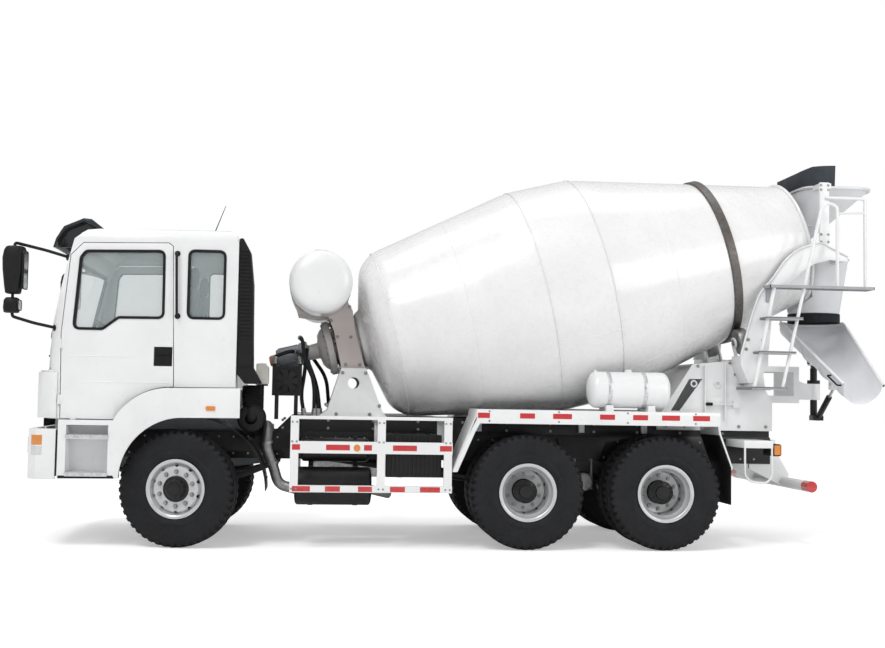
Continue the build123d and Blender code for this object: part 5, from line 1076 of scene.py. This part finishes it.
# side guards with conspicuity tape: where its fields meet on each rail
TAPE_TOP = (1065, 1143, 1395, 1628, 1765, 1843, 2049, 2285, 2512, 2630)
TAPE_LOW = (1074, 1248, 1393, 1539, 1714, 1851, 2027, 2174, 2322, 2519, 2630)
TAPE_REAR = (2885, 3005, 3306, 3457, 3639, 3831, 4115, 4269, 4453, 4607, 4750, 4936, 5071, 5247, 5350)
dress("side_guards", WHITE, 4, 40)
dress("rear_fenders", WHITE, 3, 40)
red, pale = new(), new()
for side in (-1, 1):
    for marks, z0, z1 in ((TAPE_TOP, 968, 1022), (TAPE_LOW, 566, 618), (TAPE_REAR, 1304, 1356)):
        for k, (a, b) in enumerate(zip(marks, marks[1:])):
            box(pale if k % 2 else red, a, b, side * (GUARD_Y - 0.6), side * (GUARD_Y + 1.2), z0, z1)
finish_piece("tape_red", red, RED_TAPE, "chassis", "lamp_lens")
finish_piece("tape_pale", pale, WHITE, "chassis", "lamp_lens")
bm = new()
side_bolts(bm, GUARD_Y, grid((1066, 1110, 1914, 1958, 2572, 2616), (1050, 592, 1240)), 8, 7)
side_bolts(bm, GUARD_Y, grid((3000, 3700, 4400, 5100), (1275, 1372)), 8, 6)
finish_piece("guard_bolts", bm, STEEL, "chassis", "machined_iron", smooth=35)

# air tanks and the ribbed battery box
bm = new()
vessel(bm, V(1490, -800, 955), X, 350, ((2, 60), (12, 98), (30, 116), (50, 120)), 44)
for x in (1250, 1690):
    collar(bm, V(x, -800, 955), X, 16, 118, 125, 44)
    box(bm, x - 20, x + 20, -862, -RAIL_Y, 1058, 1087)
    rod(bm, V(x, -800, 830), V(x, -800, 812), 12, 10)
prism(bm, block_outline(1988, 2542, 704, 1126, 30), -1118, -452)
for k in range(13):         # ribs of the lid and front
    x = 2012 + 42 * k
    box(bm, x - 8, x + 8, -1130, -1110, 724, 1106)
for z in (712, 1118):
    box(bm, 1990, 2540, -1128, -1112, z - 8, z + 8)
box(bm, 1995, 2535, -452, -RAIL_Y, 860, 1100)
for x in (2100, 2430):
    box(bm, x - 14, x + 14, -1134, -1122, 1040, 1122)
    pipe(bm, ((x, -1120, 1126), (x, -1080, 1136), (x, -500, 1136), (x, -470, 1126)), 20, 5)
finish_piece("battery_box_and_air_tank", bm, BLACK, "chassis", "battery_and_air_tanks",
             ("battery_and_air_tanks",), smooth=38)

# side tanks: water vessel on the left, alloy fuel tank on the right; the vessel's straps are alloy too
VESSEL_X, VESSEL_Y, VESSEL_Z = 4455, -1030, 1605
bm = new()
vessel(bm, V(VESSEL_X, VESSEL_Y, VESSEL_Z), X, 420, ((1, 60), (10, 120), (30, 160), (60, 182), (90, 185)), 56)
for x in (4230, 4660):
    prism(bm, ((x - 40, 1389), (x + 40, 1389), (x + 34, 1450), (x - 34, 1450)), -1185, -875)
rod(bm, V(VESSEL_X, VESSEL_Y, 1785), V(VESSEL_X, VESSEL_Y, 1812), 38, 20)
rod(bm, V(4110, VESSEL_Y, 1760), V(4110, VESSEL_Y, 1804), 16, 14)
finish_piece("side_vessel", bm, WHITE, "chassis", "side_tanks", ("side_tanks",), smooth=38)
bm = new()
for x in (4230, 4596):
    collar(bm, V(x, VESSEL_Y, VESSEL_Z), X, 20, 184, 189, 56)
    box(bm, x - 12, x + 12, -1222, -1206, 1560, 1650)
prism(bm, block_outline(1275, 2425, 590, 1070, 90), 652, 1188)
for x in (1480, 2250):
    box(bm, x - 30, x + 30, 646, 1194, 1066, 1076)
    box(bm, x - 30, x + 30, 1186, 1194, 600, 1070)
    box(bm, x - 30, x + 30, 646, 1194, 584, 594)
    box(bm, x - 40, x + 40, 430, 655, 870, 1060)
rod(bm, V(1560, 1010, 1066), V(1560, 1010, 1104), 52, 28)
lathe(bm, ((0, 0), (0, 60), (16, 60), (24, 50), (26, 0)), V(1560, 1010, 1100), Z, 28)
finish_piece("fuel_tank", bm, ALLOY, "chassis", "bare_steel", bevel=6, smooth=38)

# ------------------------------------------------------------------ drum drive and water tank
dress("front_pedestal", [WHITE, PRIMER], 4, 38, second_above=1830)
bm = new()
side_bolts(bm, 331, ((1590, 1830), (1740, 1830), (1500, 2120), (1640, 2120), (1430, 2290), (1620, 2440),
                     (1150, 2420), (1250, 2455), (1450, 2490)), 15, 13)
side_bolts(bm, 431, grid((1560, 1800), (1740,)) + grid((1400, 1950), (1400,)) + grid((1500, 1850), (1310,)),
           15, 13)
finish_piece("pedestal_bolts", bm, STEEL, "chassis", "machined_iron", smooth=35)

bm = new()      # gearbox, along the drum's axis ahead of its flange
lathe(bm, ((-1, 0), (-1, 262), (-12, 265), (-40, 265), (-46, 258), (-50, 170), (-120, 165), (-135, 176),
           (-280, 182), (-286, 284), (-292, 290), (-350, 290), (-358, 284), (-362, 236), (-400, 205),
           (-430, 162), (-440, 100), (-450, 85), (-562, 80), (-562, 0)), d_origin, d_axis, 64)
for k in range(8):          # casting ribs between the flanges
    drum_rib(bm, math.pi / 4 * k + 0.2, 0.045, 150, ((-60, 235), (-160, 205), (-270, 250)))
prism(bm, ((1552, 1790), (1786, 1790), (1688, 2180), (1466, 2180)), -236, 236)
box(bm, 1500, 1840, -235, 235, 1792, 1812)
finish_piece("gearbox", bm, CASTING, "chassis", "drum_drive", ("drum_drive",), smooth=32)
bm = new()
bolt_circle(bm, on_drum(-48, 0, 0), -d_axis, 222, 20, 12, 14)
bolt_circle(bm, on_drum(-292, 0, 0) + d_axis * 0.004, d_axis, 262, 24, 11, 13)
bolt_circle(bm, on_drum(-360, 0, 0), -d_axis, 258, 24, 11, 13)
bolt_circle(bm, on_drum(-562, 0, 0), -d_axis, 66, 6, 10, 12)
finish_piece("gearbox_bolts", bm, STEEL, "chassis", "machined_iron", smooth=35)
bm = new()
lathe(bm, ((-560, 0), (-560, 112), (-575, 118), (-600, 118), (-640, 122), (-650, 112), (-700, 108),
           (-880, 108), (-896, 100), (-902, 66), (-902, 0)), d_origin, d_axis, 44)
for k in range(6):
    drum_rib(bm, math.pi / 3 * k, 0.1, 100, ((-655, 118), (-872, 118)))
rod(bm, on_drum(-760, 70, math.pi), on_drum(-760, 150, math.pi), 46, 20)
for t in (-1.57, 1.57):
    rod(bm, on_drum(-700, 90, t), on_drum(-700, 138, t), 26, 16)
    rod(bm, on_drum(-620, 90, t), on_drum(-620, 150, t), 24, 16)
box(bm, 1075, 1130, -60, 60, 1980, 2020)
finish_piece("drum_motor", bm, IRON, "chassis", "drum_drive", smooth=36)
bm = new()
lathe(bm, ((-900, 0), (-900, 64), (-930, 62), (-968, 58), (-982, 44), (-985, 0)), d_origin, d_axis, 32)
finish_piece("motor_cap", bm, COPPER, "chassis", "engine_paint", smooth=40)

TANK_X, TANK_Z = 1312, 2650
bm = new()
vessel(bm, V(TANK_X, 0, TANK_Z), Y, 950, ((1, 90), (8, 180), (24, 250), (48, 298), (78, 318), (100, 320)), 72)
for y in (-848, 0, 848):
    lathe(bm, ((-4, 318), (-2, 321.5), (2, 321.5), (4, 318)), V(TANK_X, y, TANK_Z), Y, 72)
rod(bm, V(TANK_X, -520, 2960), V(TANK_X, -520, 3010), 70, 32)
rod(bm, V(TANK_X, 300, 2960), V(TANK_X, 300, 2992), 28, 20)
finish_piece("water_vessel", bm, WHITE, "chassis", "water_tank", ("water_tank",), smooth=36)
bm = new()
for y in (-315, 315):
    collar(bm, V(TANK_X, y, TANK_Z), Y, 26, 319, 325, 72)
finish_piece("tank_straps", bm, STEEL, "chassis", "bare_steel", smooth=40)

# oil cooler: finned core, fan and shroud
dress("oil_cooler", BLACK, 6, 38)
bm = new()
for k in range(26):
    z = 1506 + 11 * k
    box(bm, 846, 1119, -424, -176, z - 1.5, z + 1.5)
for side, y in ((-1, -424), (1, -176)):
    centre, out = V(982, y, 1646), Y * side
    lathe(bm, ((0, 118), (0, 128), (8, 128), (8, 118)), centre, out, 36)
    lathe(bm, ((0, 0), (0, 36), (10, 34), (14, 0)), centre, out, 24)
    for k in range(7):      # blades
        t = 2 * math.pi * k / 7
        arm, across = Vector((math.cos(t), 0, math.sin(t))), Vector((-math.sin(t), 0, math.cos(t)))
        loft(bm, [[centre + arm * r + across * w + out * o
                   for w, o in ((-half, 0.002), (half, 0.009), (half, 0.011), (-half, 0.004))]
                  for r, half in ((0.03, 0.02), (0.115, 0.036))])
for x in (850, 1115):
    rod(bm, V(x, -300, 1800), V(x, -300, 1826), 20, 16)
finish_piece("cooler_fan", bm, BLACK, "chassis", "oil_cooler", smooth=34)

# hoses with swaged fittings
ROUTES = (
    ((1119, -100, 1934), (1119, -240, 1934), (1200, -345, 1860), (1270, -390, 1600), (1270, -390, 1286)),
    ((1105, -140, 2110), (1135, -330, 2080), (1160, -350, 1860), (1250, -360, 1690), (1310, -360, 1460),
     (1312, -372, 1286)),
    ((1108, 100, 2040), (1108, 250, 2030), (1200, 350, 1860), (1300, 380, 1600), (1340, 390, 1286)),
    ((1180, -130, 2010), (1180, -260, 1960), (1160, -330, 1700), (1130, -380, 1500), (1170, -390, 1286)),
    ((850, -300, 1826), (850, -300, 1900), (1000, -260, 1960), (1090, -150, 1960)),
    ((1115, -300, 1826), (1115, -300, 1880), (1150, -230, 1940), (1160, -120, 1960)),
    ((1150, 120, 2060), (1180, 330, 2000), (1400, 390, 1700), (1430, 400, 1400), (1440, 400, 1290)),
)
bm, fittings = new(), new()
for route in ROUTES:
    pts = [V(*p) for p in route]
    tube(bm, bend(pts, 120, 8), 20, 14)
    for a, b in ((pts[0], pts[1]), (pts[-1], pts[-2])):
        d = (b - a).normalized()
        rod(fittings, a, a + d * 0.055, 26, 16)
        bolt(fittings, a + d * 0.055, d, 27, 22, washer=False)
finish_piece("hoses", bm, RUBBER, "chassis", "rubber", ("hydraulic_hoses",), smooth=60)
finish_piece("hose_fittings", fittings, STEEL, "chassis", "machined_iron", smooth=35)

# ------------------------------------------------------------------ rear pedestal, arms and hopper
dress("rear_pedestal", WHITE, 3, 38)
dress("hopper_frame", WHITE, 4, 38)
dress("hopper", GREY, 2, 50)
dress("discharge_funnel", GREY, 2, 50)
dress("rubber_guards", [RUBBER, APRON], 2, 50, second_above=3800)
PLATE_Y, ARM_Y = 521, 806       # outer faces of the pedestal's plates and of the arms
bm = new()
side_bolts(bm, PLATE_Y, grid((5000, 5200, 5500, 5800, 6100), (1240,)) + [
    (5350, 1880), (5700, 1920), (5850, 1960), (5990, 1960), (5760, 1800), (5820, 1740)], 15, 13)
side_bolts(bm, ARM_Y, ((5780, 2060), (5950, 2060), (5800, 2160), (5960, 2160)), 15, 13)
side_bolts(bm, ARM_Y, grid((6600, 6680), (3220, 3300, 3780, 3830)), 11, 10)
finish_piece("rear_bolts", bm, STEEL, "chassis", "machined_iron", smooth=35)
ARM_LINE = ((5722, 1990), (5838, 2426), (5923, 2657), (6058, 2807), (6192, 3006), (6328, 3126), (6495, 3189),
            (6598, 3215), (6717, 3152), (6895, 3068))
bm = new()
for side in (-1, 1):
    pipe(bm, [(x, side * 812, z) for x, z in ARM_LINE], 100, 9, 8, 4)
    for x, top in ((5420, 1880), (5640, 1920)):     # stiffeners on the pedestal's plates
        box(bm, x - 6, x + 6, side * 520, side * 560, 1300, top)
    prism(bm, block_outline(5480, 5600, 1560, 1640, 8), side * 519, side * 523)     # blank plate
finish_piece("arm_ribs", bm, WHITE, "chassis", "hopper_frame", smooth=45)
bm = new()
ring = block_outline(6560, 7350, -520, 520, 250, 8)
tube(bm, [V(x, y, 3866) for x, y in ring] + [V(*ring[0], 3866)], 13, 10)
ring = block_outline(6562, 7098, -508, 508, 200, 8)
tube(bm, [V(x, y, 3082) for x, y in ring if x > 6700 or abs(y) > 470], 12, 10)
for side in (-1, 1):
    for t in (0.25, 0.5, 0.75):
        middle, half, z = 6955 - 345 * t, 522 - 310 * t, 3860 - 530 * t
        rod(bm, V(middle - 60, side * half, z), V(middle + 60, side * half, z), 7, 8)
finish_piece("hopper_rims", bm, GREY, "chassis", "hopper", smooth=45)

# chute: skin, rolled rim, cross ribs, handles
# the chute's skin and rims wear the lightened grey: painted light against the shade the chute stands in
dress("chute", CHUTE_GREY_LIT, 1.5, 50)
dress("chute_swivel", BLACK, 3, 38)
dress("jack_barrel", BLACK, 2, 38)
dress("jack_rod", BRIGHT, 1, 38)
CHUTE_LENGTH, HEAD_HALF, LIP_HALF = 1454, 367, 203
slope = math.radians(28.5)
down = Vector((0, -math.cos(slope), -math.sin(slope)))
rise = Vector((0, -math.sin(slope), math.cos(slope)))
top = V(CHUTE_X, 0, CHUTE_TOP)


def on_chute(distance, across, under):
    """A place down the chute's rim line, across from its middle and under it (all mm)."""
    return top + down * (distance / 1000) + X * (across / 1000) - rise * (under / 1000)


def half_width(distance):
    return HEAD_HALF + (LIP_HALF - HEAD_HALF) * distance / CHUTE_LENGTH


def rim(distance, side):
    return on_chute(distance, side * (half_width(distance) - 2), 12)


bm = new()
for side in (-1, 1):
    tube(bm, [rim(d, side) for d in (60, 400, 800, 1200, 1440)], 13, 12)
arc = [V(CHUTE_X + 365 * math.cos(t), 365 * math.sin(t), CHUTE_TOP - 12)
       for t in (math.pi * k / 20 for k in range(21))]
tube(bm, [rim(60, 1)] + arc + [rim(60, -1)], 13, 12)
for d in (500, 900, 1300):      # ribs under the trough
    half, depth = half_width(d), 330 - 90 * d / CHUTE_LENGTH
    round_depth = half * 0.85
    tube(bm, [on_chute(d, math.cos(t) * half, depth - round_depth + math.sin(t) * round_depth)
              for t in (math.pi * k / 16 for k in range(17))], 7, 8)
finish_piece("chute_rims", bm, CHUTE_GREY_LIT, "chute", "chute", smooth=50)
bm = new()
for side in (-1, 1):
    a, b = rim(1180, side) - rise * 0.04, rim(1400, side) - rise * 0.04
    out = X * side * 0.045
    tube(bm, bend([a, a + out, b + out, b], 25), 9, 10)
finish_piece("chute_handles", bm, PLASTIC, "chute", "rubber_guards", smooth=50)

# ladder, platform and handrails
RAILS = (((6110, -960, 1640), (6538, -960, 3556), (6606, -970, 3616), (6700, -985, 3572), (6700, -985, 2725)),
         ((6660, -807, 3690), (6660, -830, 3690), (7075, -830, 3690), (7075, -830, 2725)))
bm = new()
tube(bm, [V(5807, -960, 1640), V(6026, -960, 2712)], 21, 14)
for rail, radius in zip(RAILS, (18, 17)):
    pipe(bm, rail, 40, radius, 14)
tube(bm, [V(6700, -985, 3500), V(7075, -830, 3540)], 12, 10)
finish_piece("ladder_and_rails", bm, WHITE, "chassis", "ladder_platform", ("ladder_platform",), smooth=45)
bm = new()
# treads: channel with rows of teeth
for x0, x1, z, y0, y1 in ((5770, 6150, 1635, -1000, -520), (5838, 6240, 2007, -1020, -840),
                          (5912, 6315, 2365, -1020, -840)):
    box(bm, x0, x1, y0, y0 + 6, z, z + 30)
    box(bm, x0, x1, y1 - 6, y1, z, z + 30)
    box(bm, x0, x1, y0, y1, z + 18, z + 24)
    for x in range(x0 + 14, x1 - 8, 26):
        box(bm, x, x + 5, y0 + 8, y1 - 8, z + 24, z + 30)
# platform: channel frame and open grating
for x0, x1, y0, y1 in ((5963, 7095, -1010, -1002), (5963, 7095, -813, -805), (5963, 5971, -1010, -805),
                       (7087, 7095, -1010, -805)):
    box(bm, x0, x1, y0, y1, 2700, 2730)
for x in range(5990, 7085, 36):
    box(bm, x, x + 4, -1004, -808, 2706, 2729)
for yy in (-960, -912, -864):
    tube(bm, [V(5968, yy, 2724), V(7090, yy, 2724)], 3, 6)
box(bm, 5990, 6060, -825, -805, 2560, 2700)
finish_piece("treads_and_platform", bm, STEP_GREY, "chassis", "bare_steel", smooth=45)

# control levers: blank box, grips and rods
bm = new()
tube(bm, [V(5480, -545, 1476), V(5790, -545, 1476)], 9, 12)
box(bm, 5730, 5790, -560, -520, 1440, 1512)
for x in (5300, 5560):          # lifting eyes
    torus(bm, V(x, -532, 1690), Y, 30, 9, 9, 8, 24)
finish_piece("lever_rod", bm, WHITE, "chassis", "white_paint", smooth=50)
bm = new()
rod(bm, V(5420, -545, 1476), V(5500, -545, 1476), 17, 16)
finish_piece("lever_grip", bm, PLASTIC, "chassis", "black_plastic", smooth=50)

# ------------------------------------------------------------------ tail
bm = new()
tube(bm, [V(6350, -1150, 648), V(6350, 1150, 648)], 56, 40)
for yy in (-420, 380):
    prism(bm, ((5950, 840), (6182, 840), (6182, 1020), (6232, 1020), (6400, 725), (6320, 605), (5950, 790)),
          yy, yy + 40)
box(bm, 6182, 6232, -460, 460, 1020, 1100)
for side in (-1, 1):
    box(bm, 5690, 6000, side * 430, side * 1000, 1030, 1107)
    loop = ((5702, 1035), (5702, 745), (5760, 683), (5930, 672), (5990, 730), (5990, 1035))
    pipe(bm, [(x, side * 988, z) for x, z in loop], 45, 11, 12)
finish_piece("underrun", bm, WHITE, "chassis", "underrun_bar", ("underrun_bar",), bevel=4, smooth=38)
bm, red, amber, clear = new(), new(), new(), new()
for side in (-1, 1):
    out = Y * side
    lathe(red, ((0, 54), (0, 57.5), (150, 57.5), (150, 54)), V(6350, side * 1000, 648), out, 40)
    lathe(red, ((0, 0), (0, 55), (3, 55), (4, 0)), V(6350, side * 1148, 648), out, 40)
    # combined lamp: three lenses to the rear and one to the side, in a black tray
    box(bm, 6002, 6080, side * 702, side * 996, 949, 1074)
    for target, y0, y1 in ((clear, 710, 790), (red, 796, 890), (amber, 896, 990)):
        ring = block_outline(side * y0, side * y1, 957, 1066, 10)
        loft(target, [[V(x, yy, z) for yy, z in ring] for x in (6078, 6089, 6092)])
    prism(amber, block_outline(6012, 6074, 962, 1062, 8), side * 994, side * 1000)
finish_piece("tail_red", red, RED, "chassis", "lamp_lens", smooth=45)
finish_piece("tail_amber", amber, AMBER, "chassis", "lamp_lens", smooth=45)
finish_piece("tail_clear", clear, CLEAR, "chassis", "lamp_lens", smooth=45)
finish_piece("tail_lamp_trays", bm, PLASTIC, "chassis", "black_plastic", bevel=5, smooth=40)

# ------------------------------------------------------------------ stage, light, camera
FLOOR_GLOW, WORLD_LIGHT = 0.36, 0.58
world = bpy.data.worlds.new("studio")
bpy.context.scene.world = world
world.use_nodes = True
tree = world.node_tree
rays = add_node(tree, "LightPath")
seen = add_node(tree, "Math")
seen.operation = "MAXIMUM"
feed(tree, rays.outputs["Is Camera Ray"], seen.inputs[0])
feed(tree, rays.outputs["Is Transmission Ray"], seen.inputs[1])
strength = add_node(tree, "MapRange", To_Min=WORLD_LIGHT, To_Max=1.0)
feed(tree, seen.outputs[0], strength.inputs["Value"])
set_plain(tree.nodes["Background"], Color=(1, 1, 1, 1))
feed(tree, strength.outputs[0], tree.nodes["Background"].inputs["Strength"])

floor_mat, tree, shader = nodes_of("white_floor")
set_plain(shader, Base_Color=(0.9, 0.9, 0.9, 1), Roughness=0.9, Emission_Color=(1, 1, 1, 1))
lift = times(tree, add_node(tree, "LightPath").outputs["Is Camera Ray"], FLOOR_GLOW)
feed(tree, lift, shader.inputs["Emission Strength"])
bm = new()
loft(bm, [[Vector((x, y, 0)) for x in (-60, 60)] for y in (-30, 60)], closed=False, cap=False)
floor = as_object("floor", bm)
floor.data.materials.append(floor_mat)


def lamp(name, kind, place, aim, power):
    data = bpy.data.lights.new(name, kind)
    data.energy = power
    obj = bpy.data.objects.new(name, data)
    bpy.context.scene.collection.objects.link(obj)
    obj.location = place
    obj.rotation_euler = (Vector(aim) - Vector(place)).to_track_quat("-Z", "Y").to_euler()
    return data


for name, place, aim, size, power in (("key", (-7, -9, 11), (0, 0, 1.5), (6, 6), 450),
                                      ("fill", (9, -9, 5), (0, 0, 1.5), (7, 5), 330),
                                      ("top", (0, 1, 12), (0, 0, 0), (12, 5), 260)):
    data = lamp(name, "AREA", place, aim, power)
    data.shape = "RECTANGLE"
    data.size, data.size_y = size
lamp("sun", "SUN", (0, 0, 0), (0.35, 0.55, -1), 0.65).angle = math.radians(12)

# camera: a long side view from the left, a little ahead of the truck's middle
CAMERA = Vector((AXLE_X / 1000 + 1.26987, -13.33261, 1.50690))
YAW, PITCH, ROLL = 0.102763, 0.059084, 0.016671
forward = Vector((math.sin(YAW) * math.cos(PITCH), math.cos(YAW) * math.cos(PITCH), math.sin(PITCH)))
level = Vector((math.cos(YAW), -math.sin(YAW), 0))
upright = level.cross(forward)
right = level * math.cos(ROLL) + upright * math.sin(ROLL)
above = upright * math.cos(ROLL) - level * math.sin(ROLL)
lens_data = bpy.data.cameras.new("camera")
lens_data.lens = 50
lens_data.sensor_width = 36
lens_data.clip_end = 200
camera = bpy.data.objects.new("camera", lens_data)
camera.matrix_world = Matrix.Translation(CAMERA) @ Matrix((right, above, -forward)).transposed().to_4x4()
bpy.context.scene.collection.objects.link(camera)
bpy.context.scene.camera = camera
bpy.context.scene.view_settings.view_transform = "Standard"
